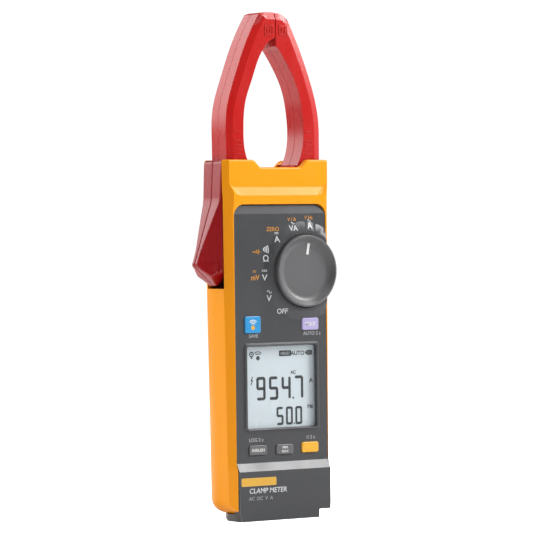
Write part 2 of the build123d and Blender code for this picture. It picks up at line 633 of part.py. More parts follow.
def jaw_face(side, inset, bevel=0.0):
    """The front outline of one jaw arm, in the XZ plane; side is -1 for the left arm."""
    outer = moved_in(OUTER_POINTS[side], -side * (inset + bevel))
    inner = moved_in(INNER_POINTS[side], side * inset)
    tip_x = TIP_SPLIT_X + side * (TIP_GAP / 2 + inset)
    tip_z = TIP_INNER_Z[side] + 1.2 * inset
    crown_x, crown_z = TIP_CROWN[side]
    crown_x, crown_z = crown_x + side * 0.4 * inset, crown_z - inset - bevel
    with BuildSketch(Plane.XZ) as face:
        with BuildLine():
            Spline(*outer)
            ThreePointArc(outer[-1], bulged(outer[-1], (crown_x, crown_z), TIP_BULGE[side]), (crown_x, crown_z))
            Polyline((crown_x, crown_z), (tip_x, crown_z), (tip_x, tip_z), inner[-1])
            Spline(*inner)
            Polyline(inner[0], (inner[0][0] - side * 0.6, ROOT_Z), (outer[0][0], ROOT_Z), outer[0])
        make_face()
        if not bevel:
            with Locations((side * PIVOT_X, PIVOT_Z)):
                Circle(BOSS_RADIUS - inset)
    return face.sketch


def jaw_layer(side, inset, front, back):
    """One layer of a jaw arm between two depths."""
    with BuildPart() as layer:
        with BuildSketch(Plane.XZ.offset(-back)):
            add(jaw_face(side, inset))
        extrude(amount=back - front)
    return layer.part


def jaw_arm(side):
    """A solid jaw arm, with a wide, shallow bevel round the outer edge of its front and its back."""
    back_start = JAW_BACK - BACK_BEVEL_DEPTH
    with BuildPart() as arm:
        add(jaw_layer(side, 0, JAW_FRONT + BEVEL_DEPTH, back_start))
        with BuildSketch(Plane.XZ.offset(-JAW_FRONT - BEVEL_DEPTH)):
            add(jaw_face(side, 0, BEVEL_START))
        with BuildSketch(Plane.XZ.offset(-JAW_FRONT)):
            add(jaw_face(side, 0, BEVEL_WIDTH))
        loft(ruled=True)
        with BuildSketch(Plane.XZ.offset(-back_start)):
            add(jaw_face(side, 0, BEVEL_START))
        with BuildSketch(Plane.XZ.offset(-JAW_BACK)):
            add(jaw_face(side, 0, BACK_BEVEL_WIDTH))
        loft(ruled=True)
        add(jaw_layer(side, 0, back_start, JAW_BACK) & slab(-40, 40, -20, 20, 160, BACK_BEVEL_LOW))
    return arm.part


for word, side in (("left", -1), ("right", 1)):
    arm = jaw_arm(side)
    room = jaw_layer(side, JAW_WALL, JAW_FRONT + JAW_WALL, JAW_BACK - JAW_WALL)
    pivot_hole = rod(side * PIVOT_X, PIVOT_Z, PIN_RADIUS + RUNNING_GAP, -30, 30)
    pivot_tube = rod(side * PIVOT_X, PIVOT_Z, PIN_RADIUS + 2.2, -30, 30)
    core_form = jaw_layer(side, 3.0, -8.8, -1.3)
    for name, keep in ((f"{word}_jaw_front", Keep.TOP), (f"{word}_jaw_back", Keep.BOTTOM)):
        with BuildPart() as shell:
            add(arm)
            add(room - pivot_tube, mode=Mode.SUBTRACT)
            add(pivot_hole, mode=Mode.SUBTRACT)
            split(bisect_by=Plane.XZ.offset(-JAW_SEAM), keep=keep)
        save(shell, name)
    with BuildPart() as jaw_core:
        add(core_form)
        add(slab(-40, 40, -20, 20, 202, 300), mode=Mode.INTERSECT)
    save(jaw_core, f"{word}_jaw_core")
    with BuildPart() as jaw_coil:
        add(jaw_layer(side, 1.9, -10.0, -0.1))
        add(core_form, mode=Mode.SUBTRACT)
        add(slab(-40, 40, -20, 20, 206, 240), mode=Mode.INTERSECT)
    save(jaw_coil, f"{word}_jaw_coil")
    # the field sensor sits between the end of the core and the tip's wall
    with BuildPart() as jaw_sensor:
        sensor_x = TIP_SPLIT_X + side * (TIP_GAP / 2 + 2.35)
        add(slab(sensor_x - 0.5, sensor_x + 0.5, -7.2, -2.8, 269, 275))
    save(jaw_sensor, f"{word}_field_sensor")


# ---------------------------------------------------------------- gear sectors
def gear_outline(side):
    """Sector outline points about the pivot: involute flanks on a few teeth that face the other jaw."""
    pitch = PIVOT_X
    base = pitch * math.cos(PRESSURE_ANGLE)
    tip, root = pitch + GEAR_ADDENDUM, pitch - GEAR_DEDENDUM
    half_tooth = (math.pi * pitch / GEAR_TEETH_FULL - GEAR_BACKLASH / 2) / 2 / pitch
    start = math.tan(PRESSURE_ANGLE) - PRESSURE_ANGLE

    def half_angle(radius):
        lean = math.acos(min(1.0, base / radius))
        return half_tooth + start - (math.tan(lean) - lean)

    step = 2 * math.pi / GEAR_TEETH_FULL
    phase = 0 if side < 0 else step / 2
    radii = [base + (tip - base) * k / 4 for k in range(5)]
    points = []
    for index in (-1, 0):
        middle = index * step + phase
        points.append((root, middle - half_angle(base)))
        points += [(r, middle - half_angle(r)) for r in radii]
        points += [(r, middle + half_angle(r)) for r in reversed(radii)]
        points.append((root, middle + half_angle(base)))
    return [(-side * r * math.cos(a), r * math.sin(a)) for r, a in points]


for word, side in (("left", -1), ("right", 1)):
    with BuildPart() as sector:
        with BuildSketch(Plane.XZ.offset(-JAW_BACK)):
            with Locations((side * PIVOT_X, PIVOT_Z)):
                Polygon((0, 0), *gear_outline(side), align=None)
                Circle(7.0)
                Circle(PIN_RADIUS + RUNNING_GAP, mode=Mode.SUBTRACT)
        extrude(amount=-GEAR_THICKNESS)
    save(sector, f"{word}_gear_sector")

with BuildPart() as pivot_pins:
    for side in (-1, 1):
        add(rod(side * PIVOT_X, PIVOT_Z, PIN_RADIUS, -15.8, 10.4))
save(pivot_pins, "pivot_pins")

# ---------------------------------------------------------------- trigger
with BuildPart() as trigger_form:
    with BuildSketch(Plane.XZ.offset(-TRIGGER_BACK)) as side_outline:
        with BuildLine():
            Polyline((-31.4, 198.6), (-33.6, 198.6))
            ThreePointArc((-33.6, 198.6), (-34.8, 198.1), (-35.3, 197.0))
            Line((-35.3, 197.0), (-36.3, 178.5))
            ThreePointArc((-36.3, 178.5), (-36.8, 175.2), (-37.9, 172.0))
            Line((-37.9, 172.0), (-47.6, 143.0))
            ThreePointArc((-47.6, 143.0), (-47.8, 141.3), (-46.6, 139.6))
            Line((-46.6, 139.6), (-36.8, 130.6))
            ThreePointArc((-36.8, 130.6), (-35.4, 129.9), (-34.2, 130.8))
            Polyline((-34.2, 130.8), (-33.2, 133), (-33.2, 176), (-31.4, 183), (-31.4, 198.6))
        make_face()
    extrude(amount=TRIGGER_BACK - TRIGGER_FRONT)
    # the two scooped sides, which close the finger face in towards the foot
    for mirror_side in (-1, 1):
        middle = (TRIGGER_FRONT + TRIGGER_BACK) / 2
        half = (TRIGGER_BACK - TRIGGER_FRONT) / 2
        with BuildPart(mode=Mode.PRIVATE) as scoop:
            for z, face_x, toe_x, toe_half in SCOOP_ROWS:
                with BuildSketch(Plane.XY.offset(z)):
                    Polygon(
                        (face_x, middle + mirror_side * (half + 0.2)),
                        (toe_x, middle + mirror_side * toe_half),
                        (-55.0, middle + mirror_side * (toe_half - 0.8)),
                        (-55.0, middle + mirror_side * (half + 6)),
                        align=None,
                    )
            loft(ruled=True)
        add(scoop.part, mode=Mode.SUBTRACT)
        # the foot narrows downwards
        with BuildSketch(Plane.YZ):
            Polygon(
                (middle + mirror_side * (half + 0.2), 137.6),
                (middle + mirror_side * 1.4, 128.0),
                (middle + mirror_side * (half + 0.2), 128.0),
                align=None,
            )
        extrude(amount=60, both=True, mode=Mode.SUBTRACT)

with BuildPart() as trigger_room:
    with BuildSketch(Plane.XZ.offset(-TRIGGER_BACK + 6.2)):
        Polygon((-35.0, 170), (-45.6, 141.8), (-45.0, 140.6), (-36.2, 132.8), (-35.0, 133.4), align=None)
    extrude(amount=TRIGGER_BACK - TRIGGER_FRONT - 12.4)

for name, keep in (("trigger_front", Keep.TOP), ("trigger_back", Keep.BOTTOM)):
    with BuildPart() as trigger_half:
        add(trigger_form.part)
        split(bisect_by=Plane.XZ.offset(-JAW_SEAM), keep=keep)
        add(trigger_room.part, mode=Mode.SUBTRACT)
    save(trigger_half, name)

# ---------------------------------------------------------------- trigger spring
SPRING_LENGTH = SPRING_SEAT_X - SPRING_END_X - 2 * (SPRING_WIRE + SPRING_PLAY)
with BuildPart() as trigger_spring:
    with BuildLine():
        coil = Helix(
            pitch=SPRING_PITCH,
            height=SPRING_LENGTH,
            radius=SPRING_RADIUS,
            center=(SPRING_END_X + SPRING_WIRE + SPRING_PLAY, SPRING_Y, SPRING_Z),
            direction=(1, 0, 0),
        )
    with BuildSketch(Plane(origin=coil @ 0, z_dir=coil % 0)):
        Circle(SPRING_WIRE)
    sweep(is_frenet=True)
save(trigger_spring, "trigger_spring")

with BuildPart() as knob_seal:
    add(rod(KNOB_X, KNOB_Z, 8.0, PANEL_BACK, -14.7))
    add(rod(KNOB_X, KNOB_Z, HUB_RADIUS + RUNNING_GAP, -20, 0), mode=Mode.SUBTRACT)
save(knob_seal, "knob_seal")
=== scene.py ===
"""Looks for a hand-held clamp meter: case, fascia, display, switch, keys, jaws and trigger.

Sizes are millimetres in the classes and metres in the finished meshes. +X is the right of someone who
looks at the display, -Y is the display side and +Z points to the tips of the jaws.
"""

from __future__ import annotations

import json
import logging
import math
from collections.abc import Callable, Iterable
from dataclasses import dataclass, field, replace
from enum import Enum

import bmesh
import bpy
from mathutils import Matrix, Vector
from mathutils.bvhtree import BVHTree

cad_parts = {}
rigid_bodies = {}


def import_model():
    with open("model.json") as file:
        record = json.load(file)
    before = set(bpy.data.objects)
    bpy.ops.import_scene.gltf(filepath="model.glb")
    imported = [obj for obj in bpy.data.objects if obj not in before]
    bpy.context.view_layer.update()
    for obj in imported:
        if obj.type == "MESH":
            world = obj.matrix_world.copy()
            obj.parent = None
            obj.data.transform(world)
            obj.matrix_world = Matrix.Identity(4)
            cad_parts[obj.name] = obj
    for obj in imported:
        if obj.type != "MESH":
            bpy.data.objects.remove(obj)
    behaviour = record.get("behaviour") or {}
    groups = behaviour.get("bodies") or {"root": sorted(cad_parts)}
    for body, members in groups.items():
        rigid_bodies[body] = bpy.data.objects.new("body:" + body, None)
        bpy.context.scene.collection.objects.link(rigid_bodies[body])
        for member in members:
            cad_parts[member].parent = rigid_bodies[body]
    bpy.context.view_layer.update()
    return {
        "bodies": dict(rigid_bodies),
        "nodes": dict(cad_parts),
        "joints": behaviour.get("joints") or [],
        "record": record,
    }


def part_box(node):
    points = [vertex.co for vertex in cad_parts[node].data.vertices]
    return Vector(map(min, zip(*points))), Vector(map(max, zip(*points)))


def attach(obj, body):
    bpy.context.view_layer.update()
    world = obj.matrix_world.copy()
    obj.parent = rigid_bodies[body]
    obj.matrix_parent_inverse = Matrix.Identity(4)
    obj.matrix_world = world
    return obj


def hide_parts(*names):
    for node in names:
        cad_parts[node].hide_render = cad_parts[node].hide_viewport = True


LOG = logging.getLogger("clamp_meter")
MM = 0.001
PER_METRE = 1000.0
Colour = tuple[float, float, float]
Surface = Callable[[float, float], float]
FRONT_LIGHT = 1.5  # how many times brighter than a screen's white the lights make a white front face
CAPITAL_SHARE = 0.69  # a capital's height, as a share of the font's size
SMOOTH_TURN = 32.0  # faces that meet at more than this many degrees keep a hard edge


def display_colour(red: int, green: int, blue: int) -> Colour:
    """Turns a colour as a screen shows it into linear light.

    Args:
        red: Red, 0 to 255.
        green: Green, 0 to 255.
        blue: Blue, 0 to 255.

    Returns:
        The three linear values that show that colour on a front face under the studio's lights.
    """
    parts = [value / 255 for value in (red, green, blue)]
    linear = [p / 12.92 if p <= 0.04045 else ((p + 0.055) / 1.055) ** 2.4 for p in parts]
    return tuple(value / FRONT_LIGHT for value in linear)


# --- finishes
class Pattern(Enum):
    """What is laid over a finish's plain colour."""

    PLAIN = "plain"
    LAMINATED = "laminated"
    WOUND = "wound"
    TRACKS = "tracks"
    BRUSHED = "brushed"


def new_group(name: str, inputs: dict[str, object], outputs: dict[str, str]) -> bpy.types.NodeTree:
    """Starts a shader node group.

    Args:
        name: The group's name.
        inputs: Each input's default; a tuple makes a colour socket, a number a value.
        outputs: Each output's socket type.

    Returns:
        The group, with its Group Input and Group Output nodes in place.
    """
    group = bpy.data.node_groups.new(name, "ShaderNodeTree")
    for label, default in inputs.items():
        kind = "NodeSocketColor" if isinstance(default, tuple) else "NodeSocketFloat"
        socket = group.interface.new_socket(label, in_out="INPUT", socket_type=kind)
        socket.default_value = (*default, 1.0) if isinstance(default, tuple) else default
    for label, kind in outputs.items():
        group.interface.new_socket(label, in_out="OUTPUT", socket_type=kind)
    group.nodes.new("NodeGroupInput")
    group.nodes.new("NodeGroupOutput")
    return group


def calculate(
    tree: bpy.types.NodeTree, operation: str, first: object, second: object
) -> bpy.types.NodeSocket:
    """Adds a Math node.

    Args:
        tree: Where the node goes.
        operation: The node's operation.
        first: A socket or a number, as is the second.
        second: What the operation's right side is.
    """
    node = tree.nodes.new("ShaderNodeMath")
    node.operation = operation
    for slot, value in enumerate((first, second)):
        if isinstance(value, (int, float)):
            node.inputs[slot].default_value = value
        else:
            tree.links.new(value, node.inputs[slot])
    return node.outputs[0]


def noise(
    tree: bpy.types.NodeTree, scale: object, detail: float, stretch: Colour = (1, 1, 1)
) -> bpy.types.NodeSocket:
    """Adds a noise on Object coordinates.

    Args:
        tree: Where the nodes go.
        scale: Features per metre, as a number or a socket.
        detail: Octaves.
        stretch: Scale of each axis.
    """
    place = tree.nodes.new("ShaderNodeTexCoord").outputs["Object"]
    mapping = tree.nodes.new("ShaderNodeMapping")
    mapping.inputs["Scale"].default_value = stretch
    tree.links.new(place, mapping.inputs["Vector"])
    node = tree.nodes.new("ShaderNodeTexNoise")
    node.inputs["Detail"].default_value = detail
    tree.links.new(mapping.outputs[0], node.inputs["Vector"])
    if isinstance(scale, (int, float)):
        node.inputs["Scale"].default_value = scale
    else:
        tree.links.new(scale, node.inputs["Scale"])
    return node.outputs["Fac"]


def put(node: bpy.types.Node, values: dict[str, object]) -> None:
    """Gives a node's sockets their values; a tuple of three is a colour."""
    for label, value in values.items():
        node.inputs[label].default_value = (*value, 1.0) if isinstance(value, tuple) else value


def mix(
    tree: bpy.types.NodeTree, factor: object, first: object, second: object
) -> bpy.types.NodeSocket:
    """Adds a colour mix.

    Args:
        tree: Where the node goes.
        factor: A socket or a number.
        first: The colour at 0, a socket or linear values.
        second: The colour at 1, a socket or linear values.
    """
    node = tree.nodes.new("ShaderNodeMix")
    node.data_type = "RGBA"
    ends = {"Factor": factor, "A": first, "B": second}
    colour_sockets = {s.name: s for s in node.inputs if s.enabled}
    for label, value in ends.items():
        socket = colour_sockets[label]
        if isinstance(value, bpy.types.NodeSocket):
            tree.links.new(value, socket)
        else:
            socket.default_value = (*value, 1.0) if isinstance(value, tuple) else value
    return next(s for s in node.outputs if s.enabled)


class Groups:
    """The effects that several finishes share, each built once."""

    mottle_scale = 38.0
    smear_scale = 90.0
    smear_stretch = (1.0, 1.0, 0.35)
    smear_gloss = 0.22
    # The edge effect lightens rounded edges: partly rubbed wear, partly a painted edge highlight.
    wear_and_highlight_reach = 0.5
    wear_and_highlight_scale = 700.0
    wear_and_highlight_gain = 7.0

    def __init__(self) -> None:
        """Builds the groups."""
        self.moulded = self._moulded()
        self.wear_and_highlight = self._wear_and_highlight()

    def _moulded(self) -> bpy.types.NodeTree:
        """Builds the mould texture: fine grain, slow mottling and handling marks in the gloss."""
        tree = new_group(
            "moulded grain",
            {"Color": (0.5, 0.5, 0.5), "Roughness": 0.5, "Grain": 1800.0, "Mottle": 0.05},
            {"Color": "NodeSocketColor", "Roughness": "NodeSocketFloat", "Height": "NodeSocketFloat"},
        )
        source, result = tree.nodes["Group Input"], tree.nodes["Group Output"]
        grain = noise(tree, source.outputs["Grain"], 2.0)
        slow = noise(tree, self.mottle_scale, 3.0)
        smears = noise(tree, self.smear_scale, 4.0, self.smear_stretch)
        amount = source.outputs["Mottle"]
        swing = calculate(tree, "MULTIPLY", calculate(tree, "SUBTRACT", slow, 0.5), amount)
        fine = calculate(tree, "MULTIPLY", calculate(tree, "SUBTRACT", grain, 0.5), amount)
        value = calculate(tree, "ADD", calculate(tree, "ADD", swing, fine), 1.0)
        shade = tree.nodes.new("ShaderNodeHueSaturation")
        tree.links.new(value, shade.inputs["Value"])
        tree.links.new(source.outputs["Color"], shade.inputs["Color"])
        tree.links.new(shade.outputs[0], result.inputs["Color"])
        uneven = calculate(tree, "SUBTRACT", smears, 0.5)
        handled = calculate(tree, "MULTIPLY", uneven, self.smear_gloss)
        rough = calculate(tree, "ADD", source.outputs["Roughness"], handled)
        tree.links.new(rough, result.inputs["Roughness"])
        tree.links.new(grain, result.inputs["Height"])
        return tree

    def _wear_and_highlight(self) -> bpy.types.NodeTree:
        """Builds rubbed and highlighted edges: a broken-up mask where a small rounding turns the
        surface lightens it towards a paler colour, partly wear and partly a painted edge highlight.
        """
        tree = new_group(
            "edge wear and highlight",
            {"Color": (0.5, 0.5, 0.5), "Worn and highlit": (0.8, 0.8, 0.8), "Amount": 0.2},
            {"Color": "NodeSocketColor"},
        )
        source, result = tree.nodes["Group Input"], tree.nodes["Group Output"]
        rounding = tree.nodes.new("ShaderNodeBevel")
        rounding.samples = 4
        rounding.inputs["Radius"].default_value = self.wear_and_highlight_reach * MM
        facing = tree.nodes.new("ShaderNodeNewGeometry")
        dot = tree.nodes.new("ShaderNodeVectorMath")
        dot.operation = "DOT_PRODUCT"
        tree.links.new(rounding.outputs[0], dot.inputs[0])
        tree.links.new(facing.outputs["Normal"], dot.inputs[1])
        turned = calculate(tree, "SUBTRACT", 1.0, dot.outputs["Value"])
        broken = calculate(tree, "MULTIPLY", noise(tree, self.wear_and_highlight_scale, 3.0), self.wear_and_highlight_gain)
        rubbed_and_highlit = calculate(tree, "MULTIPLY", turned, broken)
        mask = calculate(tree, "MULTIPLY", rubbed_and_highlit, source.outputs["Amount"])
        mask = calculate(tree, "MINIMUM", mask, 1.0)
        shown = mix(tree, mask, source.outputs["Color"], source.outputs["Worn and highlit"])
        tree.links.new(shown, result.inputs["Color"])
        return tree


BANDS = {Pattern.LAMINATED: ("Y", 420.0), Pattern.WOUND: ("Z", 560.0), Pattern.BRUSHED: ("Z", 900.0)}
BAND_WOBBLE = 0.6
TRACK_SCALE = 260.0
TRACK_WIDTH = 0.06
PATTERN_RELIEF = 3.0  # how much deeper a pattern is than the grain


def add_object(name: str, data: bpy.types.ID) -> bpy.types.Object:
    """Adds an object with that data to the scene."""
    made = bpy.data.objects.new(name, data)
    bpy.context.scene.collection.objects.link(made)
    return made


@dataclass(frozen=True)
class Finish:
    """One surface finish. Grain is features per metre and depth is millimetres."""

    name: str
    colour: Colour
    roughness: float = 0.5
    grain: float = 1900.0
    depth: float = 0.012
    mottle: float = 0.05
    # How strongly rounded edges lighten, and the paler colour they lighten to: partly wear, partly a
    # painted edge highlight.
    wear_and_highlight: float = 0.25
    worn_and_highlit: Colour = (0.75, 0.75, 0.75)
    metallic: float = 0.0
    coat: float = 0.0
    coat_roughness: float = 0.1
    specular: float = 0.5
    glow: float = 0.0
    alpha: float = 1.0
    pattern: Pattern = Pattern.PLAIN
    second: Colour = (0.1, 0.1, 0.1)

    @property
    def even(self) -> bool:
        """Whether the surface is the same all over."""
        return not (self.mottle or self.wear_and_highlight or self.depth) and self.pattern is Pattern.PLAIN

    def _patterned(self, tree: bpy.types.NodeTree) -> tuple[object, bpy.types.NodeSocket | None]:
        """Gives the plain or patterned colour, and the pattern's height where it has one."""
        if self.pattern is Pattern.PLAIN:
            return self.colour, None
        place = tree.nodes.new("ShaderNodeTexCoord").outputs["Object"]
        if self.pattern is Pattern.TRACKS:
            cells = tree.nodes.new("ShaderNodeTexVoronoi")
            cells.distance = "CHEBYCHEV"
            cells.feature = "DISTANCE_TO_EDGE"
            put(cells, {"Scale": TRACK_SCALE})
            tree.links.new(place, cells.inputs["Vector"])
            lines = calculate(tree, "LESS_THAN", cells.outputs["Distance"], TRACK_WIDTH)
            return mix(tree, lines, self.colour, self.second), lines
        wave = tree.nodes.new("ShaderNodeTexWave")
        wave.bands_direction, scale = BANDS[self.pattern]
        put(wave, {"Scale": scale, "Distortion": BAND_WOBBLE})
        tree.links.new(place, wave.inputs["Vector"])
        return mix(tree, wave.outputs["Fac"], self.second, self.colour), wave.outputs["Fac"]

    def material(self, groups: Groups) -> bpy.types.Material:
        """Gives the finish's material, built the first time that it is asked for."""
        ready = bpy.data.materials.get(self.name)
        if ready:
            return ready
        material = bpy.data.materials.new(self.name)
        material.use_nodes = True
        tree = material.node_tree
        shader = tree.nodes["Principled BSDF"]
        put(shader, {"Metallic": self.metallic, "Specular IOR Level": self.specular})
        put(shader, {"Coat Weight": self.coat, "Coat Roughness": self.coat_roughness})
        put(shader, {"Emission Strength": self.glow, "Alpha": self.alpha})
        if self.even:
            put(shader, {"Base Color": self.colour, "Roughness": self.roughness})
            return material
        colour, relief = self._patterned(tree)
        moulded = tree.nodes.new("ShaderNodeGroup")
        moulded.node_tree = groups.moulded
        put(moulded, {"Roughness": self.roughness, "Grain": self.grain, "Mottle": self.mottle})
        if isinstance(colour, bpy.types.NodeSocket):
            tree.links.new(colour, moulded.inputs["Color"])
        else:
            put(moulded, {"Color": colour})
        shown = moulded.outputs["Color"]
        # Rounded edges turn paler: partly rubbed wear, partly a painted edge highlight.
        if self.wear_and_highlight:
            wear_and_highlight = tree.nodes.new("ShaderNodeGroup")
            wear_and_highlight.node_tree = groups.wear_and_highlight
            put(wear_and_highlight, {"Worn and highlit": self.worn_and_highlit, "Amount": self.wear_and_highlight})
            tree.links.new(shown, wear_and_highlight.inputs["Color"])
            shown = wear_and_highlight.outputs["Color"]
        tree.links.new(shown, shader.inputs["Base Color"])
        tree.links.new(moulded.outputs["Roughness"], shader.inputs["Roughness"])
        # A finish with glow gives off its own colour as light; the display glass's glow is painted
        # light.
        if self.glow:
            tree.links.new(shown, shader.inputs["Emission Color"])
        height = moulded.outputs["Height"]
        if relief is not None:
            raised = calculate(tree, "MULTIPLY", relief, PATTERN_RELIEF)
            height = calculate(tree, "ADD", height, raised)
        bump = tree.nodes.new("ShaderNodeBump")
        bump.inputs["Distance"].default_value = self.depth * MM
        tree.links.new(height, bump.inputs["Height"])
        tree.links.new(bump.outputs[0], shader.inputs["Normal"])
        return material


class Finishes:
    """Every finish on the meter."""

    shell = Finish(
        "yellow shell",
        (0.80, 0.28, 0.001),
        0.36,
        specular=0.22,
        depth=0.010,
        mottle=0.03,
        worn_and_highlit=(0.8, 0.4, 0.05),
    )
    panel = Finish(
        "grey fascia", display_colour(68, 69, 72), 0.33, grain=2400.0, depth=0.016, mottle=0.10
    )
    foot = replace(panel, name="grey foot", colour=display_colour(97, 97, 102), roughness=0.42)
    jaw = Finish(
        "red jaw",
        display_colour(210, 24, 20),
        0.27,
        depth=0.006,
        mottle=0.04,
        worn_and_highlit=(0.8, 0.15, 0.12),
        specular=0.42,
    )
    # The trigger is a copy of the jaw's red made darker: painted shade for its scooped, shadowed face.
    trigger = replace(
        jaw, name="jaw red darkened as painted shade", colour=display_colour(172, 4, 16), worn_and_highlit=(0.7, 0.1, 0.1)
    )
    knob = Finish(
        "satin knob", display_colour(100, 100, 102), 0.40, grain=2600.0, depth=0.010, mottle=0.06
    )
    white_paint = Finish(
        "white paint fill", display_colour(245, 245, 242), 0.35, depth=0.004, wear_and_highlight=0.0
    )
    white_print = Finish("white print", display_colour(224, 226, 226), 0.42, depth=0.004, wear_and_highlight=0.0)
    orange_print = replace(white_print, name="orange print", colour=display_colour(226, 152, 40))
    grey_print = replace(white_print, name="grey print", colour=display_colour(168, 169, 170))
    plate = Finish("yellow name plate", display_colour(238, 182, 62), 0.35, depth=0.004, wear_and_highlight=0.1)
    blue_key = Finish(
        "blue key", display_colour(34, 158, 226), 0.32, depth=0.006, coat=0.3, worn_and_highlit=(0.4, 0.75, 0.95)
    )
    lavender_key = Finish("lavender key", display_colour(188, 178, 224), 0.38, depth=0.006)
    grey_key = Finish("grey key", display_colour(104, 104, 107), 0.38, depth=0.008)
    yellow_key = Finish(
        "yellow key", display_colour(255, 190, 44), 0.36, depth=0.006, worn_and_highlit=(1.0, 0.75, 0.3)
    )
    segment = Finish("dark segment", display_colour(28, 32, 38), 0.3, depth=0.0, mottle=0.0, wear_and_highlight=0.0)
    lens = replace(
        segment,
        name="display lens",
        colour=display_colour(228, 236, 240),
        roughness=0.06,
        alpha=0.03,
        specular=0.2,
    )
    # The display glass glows a little in its own colour: painted light that brightens the display.
    lcd = Finish(
        "display glass", display_colour(206, 217, 223), 0.25, depth=0.0, mottle=0.02, wear_and_highlight=0.0, glow=0.2
    )
    lcd_light = replace(segment, name="light segment", colour=display_colour(200, 212, 218))
    diffuser = Finish("white diffuser", display_colour(230, 230, 224), 0.5)
    rubber = Finish("black rubber", display_colour(34, 34, 36), 0.75, grain=1200.0, depth=0.03)
    board = Finish(
        "solder mask",
        display_colour(24, 104, 52),
        0.35,
        wear_and_highlight=0.0,
        pattern=Pattern.TRACKS,
        second=(0.03, 0.22, 0.08),
    )
    black = Finish("black plastic", display_colour(38, 38, 40), 0.5)
    jacket = Finish("cell jacket", display_colour(40, 42, 48), 0.3, coat=0.5, mottle=0.08)
    steel = Finish(
        "plated steel",
        (0.62, 0.62, 0.63),
        0.28,
        metallic=1.0,
        pattern=Pattern.BRUSHED,
        second=(0.5, 0.5, 0.52),
    )
    brass = replace(
        steel, name="turned brass", colour=(0.78, 0.60, 0.28), roughness=0.25, second=(0.66, 0.48, 0.2)
    )
    core = replace(
        steel,
        name="laminated core",
        colour=(0.30, 0.31, 0.33),
        roughness=0.4,
        metallic=0.9,
        pattern=Pattern.LAMINATED,
        second=(0.12, 0.12, 0.13),
    )
    copper = replace(
        core,
        name="enamelled winding",
        colour=(0.60, 0.24, 0.10),
        roughness=0.3,
        metallic=0.8,
        pattern=Pattern.WOUND,
        second=(0.25, 0.08, 0.04),
    )
    nylon = Finish("white nylon", display_colour(226, 224, 214), 0.45)


